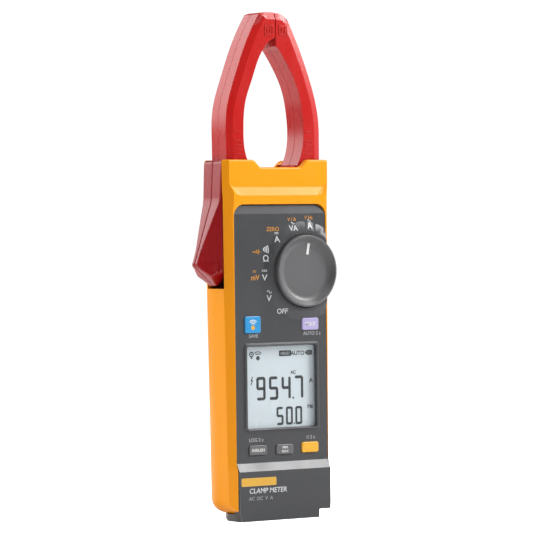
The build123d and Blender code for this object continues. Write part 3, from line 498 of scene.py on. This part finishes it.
# --- the shop: how pieces are finished
class Workshop:
    """Turns shapes into finished pieces of the meter. Turns are degrees and lengths millimetres."""

    sharp_turn = 25.0  # every edge that turns more is rounded
    slight_turn = 8.0  # so is one that turns more than this and isn't a facet's
    facet_width = 1.3  # the widest facet of a curve
    slight_length = 5.0  # the longest facet line across a curve
    uneven = 12.0  # how unlike in area the faces beside a short real edge are
    strayed = 0.75  # shares of the radius
    folded = 0.1  # cosine of the largest turn that rounding gives a face
    weld = 0.004
    shortest = 0.01
    flat_turn = 0.4
    shares = (1.0, 0.7, 0.5, 0.35, 0.2)  # radii to try, as shares of the one asked for

    def __init__(self, frame: dict, groups: Groups) -> None:
        self.frame = frame
        self.groups = groups
        self.bodies = frame["record"]["behaviour"]["bodies"]

    def body_of(self, node: str) -> str:
        """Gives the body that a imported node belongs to."""
        return next(body for body, nodes in self.bodies.items() if node in nodes)

    def finish_piece(
        self, bm: bmesh.types.BMesh, name: str, finish: Finish, body: str
    ) -> bpy.types.Object:
        """Makes a piece from a shape in millimetres.

        Args:
            bm: The shape, which is used up.
            name: The piece's name.
            finish: Its finish.
            body: The body that it rides on.
        """
        bmesh.ops.scale(bm, vec=(MM, MM, MM), verts=bm.verts)
        mesh = bpy.data.meshes.new(name)
        bm.to_mesh(mesh)
        bm.free()
        mesh.polygons.foreach_set("use_smooth", [True] * len(mesh.polygons))
        mesh.set_sharp_from_angle(angle=math.radians(SMOOTH_TURN))
        mesh.materials.append(finish.material(self.groups))
        piece = add_object(name, mesh)
        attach(piece, body)
        LOG.info("piece %s on %s, %d faces", name, body, len(mesh.polygons))
        return piece

    def dress_node(self, node: str, finish: Finish) -> None:
        """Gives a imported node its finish."""
        mesh = self.frame["nodes"][node].data
        mesh.materials.clear()
        mesh.materials.append(finish.material(self.groups))
        LOG.info("node %s in %s", node, finish.name)

    def _is_crease(self, edge: bmesh.types.BMEdge) -> bool:
        """Tells a real edge of a moulding from the line between two facets of a curve."""
        if not edge.is_manifold:
            return False
        turn = math.degrees(edge.calc_face_angle(0.0))
        length = edge.calc_length()
        small, large = sorted(face.calc_area() for face in edge.link_faces)
        lasting = length > self.slight_length or large > self.uneven * small
        slight = turn > self.slight_turn and lasting and small / length > self.facet_width
        return turn > self.sharp_turn or slight

    def _fault(self, rounded: bmesh.types.BMesh, plain: BVHTree, radius: float) -> float:
        """Measures how much of a rounded shape has folded over or left the plain one.

        Args:
            rounded: The shape to test.
            plain: The shape before its edges were rounded.
            radius: How far the rounding reaches.

        Returns:
            The area at fault, in square millimetres.
        """
        fault = 0.0
        for corners in rounded.calc_loop_triangles():
            a, b, c = (loop.vert.co for loop in corners)
            across = (b - a).cross(c - a)
            _, normal, _, distance = plain.find_nearest((a + b + c) / 3)
            folded = across.length > 0 and across.normalized().dot(normal) < self.folded
            if distance > radius * self.strayed or folded:
                fault += across.length / 2
        return fault

    def _round_edges(
        self, bm: bmesh.types.BMesh, radius: float, tolerance: float
    ) -> bmesh.types.BMesh:
        """Rounds a shape's real edges by as much as it has room for.

        Args:
            bm: The shape, which is used up.
            radius: How far the rounding reaches from each edge at most.
            tolerance: Square millimetres of folds that thin walls and corners can hide.

        Returns:
            The rounded shape.
        """
        plain = BVHTree.FromBMesh(bm)
        for share in (*self.shares, None):
            rounded = bm.copy()
            bmesh.ops.bevel(
                rounded,
                geom=[edge for edge in rounded.edges if self._is_crease(edge)],
                offset=radius * (share or 1.0),
                offset_type="OFFSET",
                affect="EDGES",
                segments=3,
                profile=0.5,
                material=-1,
                clamp_overlap=share is None,
            )
            fault = self._fault(rounded, plain, radius)
            LOG.info("rounding share %s leaves a fault of %.2f", share, fault)
            if share is None or fault < tolerance:
                break
            rounded.free()
        bm.free()
        return rounded

    def soften(
        self, node: str, finish: Finish, radius: float, tolerance: float = 0.15
    ) -> None:
        """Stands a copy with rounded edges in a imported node's place.

        Args:
            node: The node.
            finish: The copy's finish.
            radius: How far the rounding reaches from each edge at most.
            tolerance: Square millimetres of folds that it can hide.
        """
        bm = bmesh.new()
        bm.from_mesh(self.frame["nodes"][node].data)
        bmesh.ops.scale(bm, vec=(PER_METRE,) * 3, verts=bm.verts)
        bmesh.ops.remove_doubles(bm, verts=bm.verts, dist=self.weld)
        bmesh.ops.dissolve_degenerate(bm, edges=bm.edges, dist=self.shortest)
        flat = math.radians(self.flat_turn)
        bmesh.ops.dissolve_limit(bm, angle_limit=flat, verts=bm.verts, edges=bm.edges)
        bm = self._round_edges(bm, radius, tolerance)
        piece = self.finish_piece(bm, f"{node}_moulding", finish, self.body_of(node))
        weighted = piece.modifiers.new("even shading", "WEIGHTED_NORMAL")
        weighted.keep_sharp = True
        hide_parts(node)


class Front:
    """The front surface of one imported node, found by looking at it squarely from the front."""

    clearance = 0.01  # metres
    behind = 12.0  # millimetres, where there is no surface to hit

    def __init__(self, shop: Workshop, node: str) -> None:
        """Prepares the search of that node's mesh."""
        bm = bmesh.new()
        bm.from_mesh(shop.frame["nodes"][node].data)
        self.tree = BVHTree.FromBMesh(bm)
        bm.free()
        self.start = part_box(node)[0].y - self.clearance

    def __call__(self, x: float, z: float) -> float:
        """Gives the surface's y at an x and z, all in millimetres."""
        hit = self.tree.ray_cast(Vector((x * MM, self.start, z * MM)), Vector((0, 1, 0)))[0]
        return hit.y * PER_METRE if hit else self.start * PER_METRE + self.behind


def level(y: float) -> Surface:
    """Gives a surface whose y is the same all over."""
    return lambda _x, _z: y


class Stencil:
    """Flat marks, drawn in x and z, that are then laid on a surface as a thin layer."""

    fewest_steps = 6
    degrees_a_step = 9

    def __init__(self) -> None:
        """Starts an empty stencil."""
        self.bm = bmesh.new()

    def _place(
        self, verts: Iterable[bmesh.types.BMVert], x: float, z: float, angle: float = 0.0
    ) -> None:
        """Turns new points by an angle in degrees and moves them to a place."""
        where = Matrix.Translation((x, z, 0)) @ Matrix.Rotation(math.radians(angle), 4, "Z")
        bmesh.ops.transform(self.bm, matrix=where, verts=list(verts))

    def bar(
        self, x: float, z: float, length: float, width: float, angle: float = 0.0, mitre: float = 0.0
    ) -> None:
        """Draws a bar.

        Args:
            x: Its middle.
            z: Its middle.
            length: Along the bar.
            width: Across the bar.
            angle: Degrees anticlockwise.
            mitre: How much of the corners is cut off.
        """
        before = set(self.bm.verts)
        made = bmesh.ops.create_grid(self.bm, x_segments=1, y_segments=1, size=0.5)["verts"]
        bmesh.ops.scale(self.bm, vec=(length, width, 1), verts=made)
        if mitre:
            cut = {"offset": mitre, "affect": "VERTICES", "segments": 1, "profile": 0.5}
            bmesh.ops.bevel(self.bm, geom=made, material=-1, **cut)
        self._place([v for v in self.bm.verts if v not in before], x, z, angle)

    def disc(self, x: float, z: float, radius: float, corners: int = 28) -> None:
        """Draws a disc, or with few corners a triangle or another regular shape."""
        shape = {"cap_ends": True, "segments": corners, "radius": radius}
        self._place(bmesh.ops.create_circle(self.bm, **shape)["verts"], x, z)

    def arc(self, x: float, z: float, radius: float, width: float, start: float, sweep: float) -> None:
        """Draws a stretch of a ring, from a start in degrees anticlockwise from +x."""
        turned = Matrix.Rotation(math.radians(start), 3, "Z")
        ends = [
            self.bm.verts.new(turned @ Vector((radius + side * width / 2, 0, 0)) + Vector((x, z, 0)))
            for side in (-1, 1)
        ]
        line = self.bm.edges.new(ends)
        bmesh.ops.spin(
            self.bm,
            geom=[line, *ends],
            cent=(x, z, 0),
            axis=(0, 0, 1),
            angle=math.radians(sweep),
            steps=max(self.fewest_steps, round(abs(sweep) / self.degrees_a_step)),
            use_merge=abs(sweep) >= 360,
        )

    def frame_line(self, x: float, z: float, width: float, height: float, line: float) -> None:
        """Draws a rectangle's outline out of four bars."""
        for side in (-1, 1):
            self.bar(x, z + side * (height - line) / 2, width, line)
            self.bar(x + side * (width - line) / 2, z, line, height - 2 * line)

    def words(
        self, text: str, x: float, z: float, height: float, weight: float = 0.0, slant: float = 0.0
    ) -> None:
        """Draws lettering centred on a place; the height is a capital's, and the weight widens."""
        curve = bpy.data.curves.new("lettering", "FONT")
        curve.body = text
        curve.size = height / CAPITAL_SHARE
        curve.align_x = "CENTER"
        curve.resolution_u = 4
        curve.offset = weight
        curve.shear = slant
        carrier = add_object("lettering", curve)
        view = bpy.context.evaluated_depsgraph_get()
        mesh = bpy.data.meshes.new_from_object(carrier.evaluated_get(view))
        mesh.transform(Matrix.Translation((x, z - height / 2, 0)))
        self.bm.from_mesh(mesh)
        bpy.data.objects.remove(carrier)
        bpy.data.curves.remove(curve)
        bpy.data.meshes.remove(mesh)

    def lay(
        self,
        shop: Workshop,
        name: str,
        surface: Surface,
        finish: Finish,
        body: str,
        slot: str,
        proud: float = 0.04,
        sunk: float = 0.05,
    ) -> None:
        """Makes the marks a thin closed layer on a surface.

        Args:
            shop: What finishes the piece.
            name: The piece's name.
            surface: Gives the surface's y at an x and z.
            finish: The marks' finish.
            body: The body that they ride on.
            slot: The record's material slot, which is not used.
            proud: How far they stand out of the surface.
            sunk: How far they reach into it.
        """
        bm = self.bm
        loose = [v for v in bm.verts if not v.link_faces]
        bmesh.ops.delete(bm, geom=loose, context="VERTS")
        bmesh.ops.recalc_face_normals(bm, faces=bm.faces)
        down = bmesh.ops.extrude_face_region(bm, geom=bm.faces[:])["geom"]
        deep = {v for v in down if isinstance(v, bmesh.types.BMVert)}
        for vert in bm.verts:
            x, z = vert.co.x, vert.co.y
            vert.co = Vector((x, surface(x, z) + (sunk if vert in deep else -proud), z))
        bmesh.ops.recalc_face_normals(bm, faces=bm.faces)
        shop.finish_piece(bm, name, finish, body)


@dataclass(frozen=True)
class Label:
    """A word of print: its middle, the height of its capitals, its boldness and its lean."""

    text: str
    x: float
    z: float
    height: float
    weight: float = 0.05
    slant: float = 0.0

    def draw(self, marks: Stencil) -> None:
        """Draws the word on a stencil."""
        marks.words(self.text, self.x, self.z, self.height, self.weight, self.slant)


def lettering(*labels: Label) -> Stencil:
    """Draws words on a new stencil."""
    marks = Stencil()
    for label in labels:
        label.draw(marks)
    return marks


# --- case
@dataclass
class Case:
    """The yellow shells, the jack end and the battery door."""

    shell_edge: float = 0.45
    foot_edge: float = 0.6
    door_edge: float = 0.4
    hidden_folds: float = 16.0

    def build(self, shop: Workshop) -> None:
        """Softens the shells and dresses what they hold."""
        shell, slot = Finishes.shell, "yellow_shell"
        shop.soften("front_shell", shell, self.shell_edge)
        shop.soften("back_shell", shell, self.shell_edge, self.hidden_folds)
        shop.soften("battery_door", shell, self.door_edge)
        shop.soften("bottom_cap", Finishes.foot, self.foot_edge)
        shop.dress_node("battery_door_screw", Finishes.steel)
        for node in ("case_screws", "pivot_pins", "trigger_spring", "battery_contacts"):
            shop.dress_node(node, Finishes.steel)
        for node in ("jack_com", "jack_volt"):
            shop.dress_node(node, Finishes.brass)
        shop.dress_node("battery_tray", Finishes.black)
        shop.dress_node("battery_cells", Finishes.jacket)


@dataclass
class Electronics:
    """What the case hides: the board with its parts, the keypad and the sounder."""

    def build(self, shop: Workshop) -> None:
        """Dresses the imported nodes."""
        for node in ("main_board", "wireless_module"):
            shop.dress_node(node, Finishes.board)
        for node in ("board_components", "buzzer", "switch_rotor"):
            shop.dress_node(node, Finishes.black)
        for node in ("keypad_mats", "zebra_strips", "knob_seal"):
            shop.dress_node(node, Finishes.rubber)
        shop.dress_node("lcd_backlight", Finishes.diffuser)


# --- fascia
@dataclass
class Fascia:
    """The grey fascia with its printed marks. Places are x, z and then a length or a radius."""

    edge: float = 0.35
    white_words: tuple[Label, ...] = (
        Label("OFF", 0.8, 115.3, 2.7),
        Label("V", -7.9, 122.65, 3.3, 0.06),
        Label("V", -10.75, 134.1, 3.3, 0.06),
        Label("Ω", -9.9, 144.6, 3.3, 0.06),
        Label("A", -2.4, 155.2, 3.3, 0.06),
        Label("VA", 8.6, 161.2, 2.9, 0.06),
        Label("A", 19.8, 162.6, 3.3, 0.06),
    )
    waves: tuple[tuple[float, float, float], ...] = (
        (-7.9, 126.15, 0.62),
        (8.6, 163.9, 0.5),
        (19.8, 165.3, 0.5),
    )
    white_lines: tuple[tuple[float, float, float], ...] = ((-10.95, 137.8, 3.0), (-2.4, 158.4, 2.6))
    sounder: tuple[float, float, float] = (-13.4, 149.6, 2.3)
    orange_words: tuple[Label, ...] = (
        Label("ZERO", -4.85, 160.8, 2.3, 0.02),
        Label("mV", -17.0, 134.2, 2.8),
        Label("V / A", 8.0, 166.1, 1.9, 0.04),
        Label("V Hz", 19.4, 167.0, 1.9, 0.04),
    )
    orange_line: tuple[float, float, float] = (-17.4, 137.5, 2.2)
    diode: tuple[float, float, float] = (-15.95, 148.3, 5.2)
    key_labels: tuple[Label, ...] = (
        Label("SAVE", -18.6, 102.1, 1.9, 0.07),
        Label("AUTO 2 s", 20.8, 102.6, 1.9, 0.07),
        Label("LOG 2 s", -17.6, 44.7, 1.9, 0.07),
        Label("2 s", 20.4, 44.8, 1.9, 0.07),
    )
    key_ring: tuple[float, float, float] = (17.2, 44.8, 0.75)
    plate: tuple[float, float, float, float] = (-17.9, 21.8, 23.2, 4.5)
    title: Label = Label("CLAMP METER", -11.9, 16.9, 2.7, 0.05, 0.15)
    ranges: Label = Label("AC  DC  V  A", -16.8, 12.7, 1.9, 0.03, 0.15)

    def dc_mark(self, marks: Stencil, x: float, z: float, length: float) -> None:
        """Draws the direct current sign: a line over three dashes."""
        rise, stroke, dash, step = 0.35, 0.32, 0.24, 0.37
        marks.bar(x, z + rise, length, stroke)
        for place in (-1, 0, 1):
            marks.bar(x + place * length * step, z - rise, length * dash, stroke)

    def wave_mark(self, marks: Stencil, x: float, z: float, radius: float) -> None:
        """Draws the alternating current sign out of two half rings."""
        stroke = 0.34
        for side, start in ((-1, 0), (1, 180)):
            marks.arc(x + side * radius, z, radius, stroke, start, 180)

    def diode_mark(self, marks: Stencil, x: float, z: float, length: float) -> None:
        """Draws the diode sign: a line, a cross bar and a triangle."""
        stroke, ahead, cross, triangle = 0.42, 1.4, 2.8, 1.35
        marks.bar(x, z, length, stroke)
        marks.bar(x + ahead, z, cross, stroke, 90)
        marks.disc(x, z, triangle, 3)

    def white_marks(self) -> Stencil:
        """Draws the white signs round the switch."""
        marks = lettering(*self.white_words)
        for x, z, radius in self.waves:
            self.wave_mark(marks, x, z, radius)
        for x, z, length in self.white_lines:
            self.dc_mark(marks, x, z, length)
        x, z, radius = self.sounder
        rings, stroke, start, sweep = 4, 0.55, -24, 48
        for ring in range(rings):
            marks.arc(x, z, radius + ring, stroke, start, sweep)
        return marks

    def orange_marks(self) -> Stencil:
        """Draws the orange signs round the switch."""
        marks = lettering(*self.orange_words)
        self.dc_mark(marks, *self.orange_line)
        self.diode_mark(marks, *self.diode)
        return marks

    def key_words(self) -> Stencil:
        """Draws the small words beside the keys."""
        marks, stroke = lettering(*self.key_labels), 0.3
        marks.arc(*self.key_ring, stroke, 0, 360)
        return marks

    def name_plate(self, shop: Workshop, surface: Surface) -> None:
        """Adds a blank yellow plate with plain words under it."""
        plate, corner, thickness = Stencil(), 0.5, 0.12
        plate.bar(*self.plate, 0, corner)
        plate.lay(shop, "name_plate", surface, Finishes.plate, "case", "yellow_key", thickness)
        for label, name, finish in (
            (self.title, "plate_words", Finishes.white_print),
            (self.ranges, "plate_small_words", Finishes.grey_print),
        ):
            lettering(label).lay(shop, name, surface, finish, "case", "white_mark")

    def build(self, shop: Workshop) -> None:
        """Builds the fascia and its print."""
        shop.soften("front_panel", Finishes.panel, self.edge)
        surface = Front(shop, "front_panel")
        for marks, name, finish, slot in (
            (self.white_marks(), "dial_marks_white", Finishes.white_print, "white_mark"),
            (self.orange_marks(), "dial_marks_orange", Finishes.orange_print, "yellow_key"),
            (self.key_words(), "key_words", Finishes.grey_print, "white_mark"),
        ):
            marks.lay(shop, name, surface, finish, "case", slot)
        self.name_plate(shop, surface)


# --- display
@dataclass
class Digit:
    """One seven-segment digit."""

    shape: str
    x: float
    z: float
    width: float
    height: float
    stroke: float

    def draw(self, marks: Stencil) -> None:
        """Draws the digit's lit segments."""
        overlap, mitre = 0.55, 0.42
        lit = {"0": "abcdef", "4": "bcfg", "5": "acdfg", "7": "abc", "9": "abcdfg"}[self.shape]
        across, up = self.width - self.stroke, (self.height - self.stroke) / 2
        places = {
            "a": (0, up, 0),
            "g": (0, 0, 0),
            "d": (0, -up, 0),
            "b": (across / 2, up / 2, 90),
            "c": (across / 2, -up / 2, 90),
            "f": (-across / 2, up / 2, 90),
            "e": (-across / 2, -up / 2, 90),
        }
        for segment in lit:
            dx, dz, angle = places[segment]
            run = (up if angle else across) + self.stroke * overlap
            marks.bar(self.x + dx, self.z + dz, run, self.stroke, angle, self.stroke * mitre)


@dataclass
class Number:
    """A row of digits with a point: the first digit's middle, the pitch and the digits' sizes."""

    shapes: str
    x: float
    z: float
    pitch: float
    digit: tuple[float, float, float]
    point: tuple[float, float, float]

    def draw(self, marks: Stencil) -> None:
        """Draws the digits, and the point at its pitches from the first, its drop and its radius."""
        for place, shape in enumerate(self.shapes):
            Digit(shape, self.x + place * self.pitch, self.z, *self.digit).draw(marks)
        pitches, drop, radius = self.point
        marks.disc(self.x + pitches * self.pitch, self.z - drop, radius, 16)


@dataclass
class Display:
    """The glass, its lens and what it shows."""

    main: Number = field(
        default_factory=lambda: Number("9547", -12.5, 72.7, 8.5, (6.2, 13.0, 1.65), (2.55, 5.8, 0.62))
    )
    second: Number = field(
        default_factory=lambda: Number("500", 0.1, 57.1, 6.35, (4.7, 10.1, 1.35), (1.52, 4.5, 0.5))
    )
    top: float = 91.8
    words: tuple[Label, ...] = (
        Label("A", 21.3, 76.3, 2.3, 0.12),
        Label("Hz", 20.6, 61.9, 2.3, 0.12),
        Label("AC", 9.4, 81.1, 1.8, 0.1),
        Label("AUTO", 12.5, 91.7, 2.3, 0.1),
    )
    held_x: float = 4.0
    held_size: tuple[float, float, float] = (8.2, 3.2, 1.5)
    cell_x: float = 20.3
    cell_size: tuple[float, float] = (4.0, 2.6)
    bolt: tuple[tuple[float, float, float, float, float], ...] = (
        (-18.5, 78.25, 2.6, 0.6, 62),
        (-18.55, 77.22, 1.4, 0.5, 10),
        (-18.6, 76.12, 2.7, 0.6, 64),
    )
    dial_x: float = -18.6
    radio: tuple[float, float, float] = (-14.3, 89.6, 1.25)

    def signs(self) -> Stencil:
        """Draws the units and the signs along the top."""
        marks, mitre = lettering(*self.words), 0.4
        marks.bar(self.held_x, self.top, *self.held_size[:2], 0, mitre)
        marks.bar(self.cell_x, self.top, *self.cell_size, 0, mitre)
        marks.bar(self.cell_x - 2.3, self.top, 0.7, 1.2)
        for bar in self.bolt:
            marks.bar(*bar)
        marks.arc(self.dial_x, self.top, 1.2, 0.7, 0, 360)
        marks.disc(self.dial_x, self.top, 0.45, 12)
        marks.disc(self.dial_x, self.top - 1.9, 1.0, 3)
        x, z, radius = self.radio
        marks.disc(x, z, radius, 20)
        for ring in range(2):
            marks.arc(x, z + 0.3, 2.1 + ring * 1.15, 0.55, 42, 96)
        return marks

    def light_signs(self) -> Stencil:
        """Draws what shows light inside the dark signs: a word and the cell's bars."""
        marks = Stencil()
        marks.words("HOLD", self.held_x, self.top, self.held_size[2])
        for place in (-1, 0, 1):
            marks.bar(self.cell_x + place, self.top, 0.25, 1.4)
        return marks

    def build(self, shop: Workshop) -> None:
        """Dresses the glass and lays the readings on it."""
        shop.dress_node("lcd_glass", Finishes.lcd)
        shop.dress_node("lcd_lens", Finishes.lens)
        glass = level(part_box("lcd_glass")[0].y * PER_METRE)
        readings = Stencil()
        self.main.draw(readings)
        self.second.draw(readings)
        for marks, name, finish, proud, sunk in (
            (readings, "display_readings", Finishes.segment, 0.03, 0.02),
            (self.signs(), "display_signs", Finishes.segment, 0.03, 0.02),
            (self.light_signs(), "display_signs_light", Finishes.lcd_light, 0.05, 0.0),
        ):
            marks.lay(shop, name, glass, finish, "case", "lcd", proud, sunk)


# --- keys
@dataclass
class Keys:
    """The five keys and the marks on them."""

    edge: float = 0.25
    proud: float = 0.03
    finishes: dict[str, tuple[Finish, str]] = field(
        default_factory=lambda: {
            "key_save": (Finishes.blue_key, "blue_key"),
            "key_max": (Finishes.lavender_key, "lavender_key"),
            "key_inrush": (Finishes.grey_key, "grey_key"),
            "key_min_max": (Finishes.grey_key, "grey_key"),
            "key_backlight": (Finishes.yellow_key, "yellow_key"),
        }
    )
    words: dict[str, tuple[Label, ...]] = field(
        default_factory=lambda: {
            "key_max": (Label("MAX", 0, 0, 2.2, 0.03),),
            "key_inrush": (Label("INRUSH", 0, 0, 1.7, 0.03),),
            "key_min_max": (Label("MIN", 0, 1.05, 1.4, 0.03), Label("MAX", 0, -1.05, 1.4, 0.03)),
        }
    )

    def save_marks(self, marks: Stencil, x: float, z: float) -> None:
        """Draws three waves that spread upwards."""
        drop, radius, pitch, stroke = 0.7, 1.5, 0.9, 0.45
        for ring in range(3):
            marks.arc(x, z - drop, radius + ring * pitch, stroke, 45, 90)

    def face_of(self, node: str) -> tuple[float, float, float]:
        """Gives the middle of a key's face: x, z and then y, in millimetres."""
        low, high = (corner * PER_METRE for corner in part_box(node))
        return (low.x + high.x) / 2, (low.z + high.z) / 2, low.y

    def build(self, shop: Workshop) -> None:
        """Builds the keys and marks them."""
        paint, gold = Finishes.white_paint, Finishes.plate
        for node, (finish, slot) in self.finishes.items():
            shop.soften(node, finish, self.edge)
            x, z, front = self.face_of(node)
            marks = lettering(*(replace(w, x=x, z=z + w.z) for w in self.words.get(node, ())))
            if node == "key_save":
                self.save_marks(marks, x, z)
            if marks.bm.verts:
                name, body = f"{node}_mark", shop.body_of(node)
                marks.lay(shop, name, level(front), paint, body, "white_mark", self.proud)
        x, z, front = self.face_of("key_save")
        dot, drop, radius = Stencil(), 1.6, 1.25
        dot.disc(x, z - drop, radius)
        dot.lay(shop, "key_save_dot", level(front), gold, "save_key", "yellow_key", self.proud)


# --- rotary switch
@dataclass
class RotarySwitch:
    """The dished knob with its white pointer."""

    def build(self, shop: Workshop) -> None:
        """Dresses the knob."""
        shop.dress_node("knob", Finishes.knob)
        shop.dress_node("knob_pointer", Finishes.white_paint)


# --- jaws
@dataclass
class Jaw:
    """One jaw with its raised marks; side is -1 for the left jaw."""

    side: int
    edge: float = 0.45
    pad_x: float = 2.5
    pad_z: float = 271.0
    pad_size: float = 5.6
    tick_x: float = 23.8
    tick_length: float = 5.2
    tick_rows: tuple[float, ...] = (202.6, 205.0, 207.4, 209.8, 214.9)
    line: float = 0.5
    height: float = 0.3
    sunk: float = 0.2
    hidden_folds: float = 21.0

    @property
    def word(self) -> str:
        """The side's name."""
        return "left" if self.side < 0 else "right"

    def marks(self) -> Stencil:
        """Draws the square near the tip and the ticks near the root."""
        marks, x, size = Stencil(), self.pad_x, self.pad_size
        marks.frame_line(x, self.pad_z, size, size, self.line)
        thin, share = 0.45, 0.55
        for place in (-1, 1):
            marks.bar(x + place, self.pad_z, thin, size * share)
        for z in self.tick_rows:
            marks.bar(self.side * self.tick_x, z, self.tick_length, self.line)
        return marks

    def build(self, shop: Workshop) -> None:
        """Builds the jaw's mouldings and dresses what they hold."""
        for half in ("front", "back"):
            node = f"{self.word}_jaw_{half}"
            shop.soften(node, Finishes.jaw, self.edge, self.hidden_folds)
        surface = Front(shop, f"{self.word}_jaw_front")
        name, body = f"{self.word}_jaw_marks", f"{self.word}_jaw"
        self.marks().lay(shop, name, surface, Finishes.jaw, body, "red_jaw", self.height, self.sunk)
        shop.dress_node(f"{self.word}_jaw_core", Finishes.core)
        shop.dress_node(f"{self.word}_jaw_coil", Finishes.copper)
        shop.dress_node(f"{self.word}_field_sensor", Finishes.black)
        shop.dress_node(f"{self.word}_gear_sector", Finishes.nylon)


@dataclass
class Trigger:
    """The lever that opens the jaws."""

    edge: float = 0.7
    hidden_folds: float = 9.0

    def build(self, shop: Workshop) -> None:
        """Builds both halves."""
        for half in ("front", "back"):
            node = f"trigger_{half}"
            shop.soften(node, Finishes.trigger, self.edge, self.hidden_folds)


# --- studio
@dataclass(frozen=True)
class Lamp:
    """A soft panel that faces the meter, in metres, watts and degrees right of the display's front."""

    name: str
    azimuth: float
    height: float
    distance: float
    size: tuple[float, float]
    power: float

    def hang(self) -> None:
        """Adds the lamp to the scene."""
        turn = math.radians(self.azimuth)
        place = Vector((math.sin(turn) * self.distance, -math.cos(turn) * self.distance, self.height))
        data = bpy.data.lights.new(self.name, "AREA")
        data.shape = "RECTANGLE"
        data.size, data.size_y = self.size
        data.energy = self.power
        lamp = add_object(self.name, data)
        aim = Vector((0, 0, 0.14)) - place
        lamp.rotation_euler = aim.to_track_quat("-Z", "Y").to_euler()
        lamp.location = place


@dataclass
class Studio:
    """Pale floor, soft light and the camera, whose places are degrees and millimetres."""

    azimuth: float = -34.53
    elevation: float = 0.664
    roll: float = 0.686
    distance: float = 1882.7
    target: tuple[float, float, float] = (3.09, 0.0, 139.9)
    lens: float = 227.67
    floor_half: float = 6.0
    ambient: float = 0.16
    backdrop: float = 1.05
    floor_glow: float = 0.9
    lamps: tuple[Lamp, ...] = (
        Lamp("key", 55, 1.05, 1.2, (0.62, 1.15), 37.0),
        Lamp("right card", 72, 0.2, 1.2, (0.5, 0.8), 1.4),
        Lamp("left back card", -146, 0.84, 1.15, (1.3, 1.3), 18.0),
        Lamp("left card", -98, 0.45, 1.3, (0.8, 0.9), 3.6),
        Lamp("front fill", -25, 1.4, 1.0, (0.8, 0.8), 4.0),
    )

    def camera(self) -> None:
        """Sets the camera."""
        azimuth, elevation, roll = map(math.radians, (self.azimuth, self.elevation, self.roll))
        flat = math.cos(elevation)
        back = Vector((math.sin(azimuth) * flat, -math.cos(azimuth) * flat, math.sin(elevation)))
        across = (-back).cross(Vector((0, 0, 1))).normalized()
        upright = across.cross(-back)
        right = across * math.cos(roll) - upright * math.sin(roll)
        up = across * math.sin(roll) + upright * math.cos(roll)
        data = bpy.data.cameras.new("camera")
        data.sensor_width = 36.0
        data.lens = self.lens
        data.clip_end = 50.0
        holder = add_object("camera", data)
        turned = Matrix((right, up, back)).transposed().to_4x4()
        place = (Vector(self.target) + back * self.distance) * MM
        holder.matrix_world = Matrix.Translation(place) @ turned
        bpy.context.scene.camera = holder

    def world(self) -> None:
        """Makes the surroundings white, and much dimmer as a light than to look at."""
        world = bpy.data.worlds.new("studio")
        world.use_nodes = True
        tree = world.node_tree
        shade = tree.nodes["Background"]
        put(shade, {"Color": (1.0, 1.0, 1.0)})
        seen = tree.nodes.new("ShaderNodeLightPath").outputs["Is Camera Ray"]
        extra = calculate(tree, "MULTIPLY", seen, self.backdrop - self.ambient)
        tree.links.new(calculate(tree, "ADD", extra, self.ambient), shade.inputs["Strength"])
        bpy.context.scene.world = world

    def floor(self) -> None:
        """Lays the floor."""
        bm = bmesh.new()
        bmesh.ops.create_grid(bm, x_segments=1, y_segments=1, size=self.floor_half)
        mesh = bpy.data.meshes.new("floor")
        bm.to_mesh(mesh)
        bm.free()
        pale = bpy.data.materials.new("pale floor")
        pale.use_nodes = True
        tree = pale.node_tree
        shader = tree.nodes["Principled BSDF"]
        put(shader, {"Base Color": (0.9, 0.9, 0.9), "Roughness": 0.9, "Specular IOR Level": 0.1})
        put(shader, {"Emission Color": (1.0, 1.0, 1.0)})
        seen = tree.nodes.new("ShaderNodeLightPath").outputs["Is Camera Ray"]
        glow = calculate(tree, "MULTIPLY", seen, self.floor_glow)
        tree.links.new(glow, shader.inputs["Emission Strength"])
        mesh.materials.append(pale)
        add_object("floor", mesh)

    def build(self) -> None:
        """Sets up the whole studio."""
        bpy.context.scene.view_settings.view_transform = "Standard"
        self.camera()
        self.world()
        self.floor()
        for lamp in self.lamps:
            lamp.hang()


def main() -> None:
    """Builds the meter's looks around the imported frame."""
    logging.basicConfig(level=logging.INFO, format="%(name)s: %(message)s")
    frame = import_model()
    Studio().build()
    shop = Workshop(frame, Groups())
    jaws = Jaw(-1, pad_x=-2.5), Jaw(1, pad_x=7.2)
    parts = Case(), Electronics(), Fascia(), Display(), Keys(), RotarySwitch(), *jaws, Trigger()
    for part in parts:
        LOG.info("building %s", type(part).__name__)
        part.build(shop)
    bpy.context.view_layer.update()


if __name__ == "__main__":
    main()
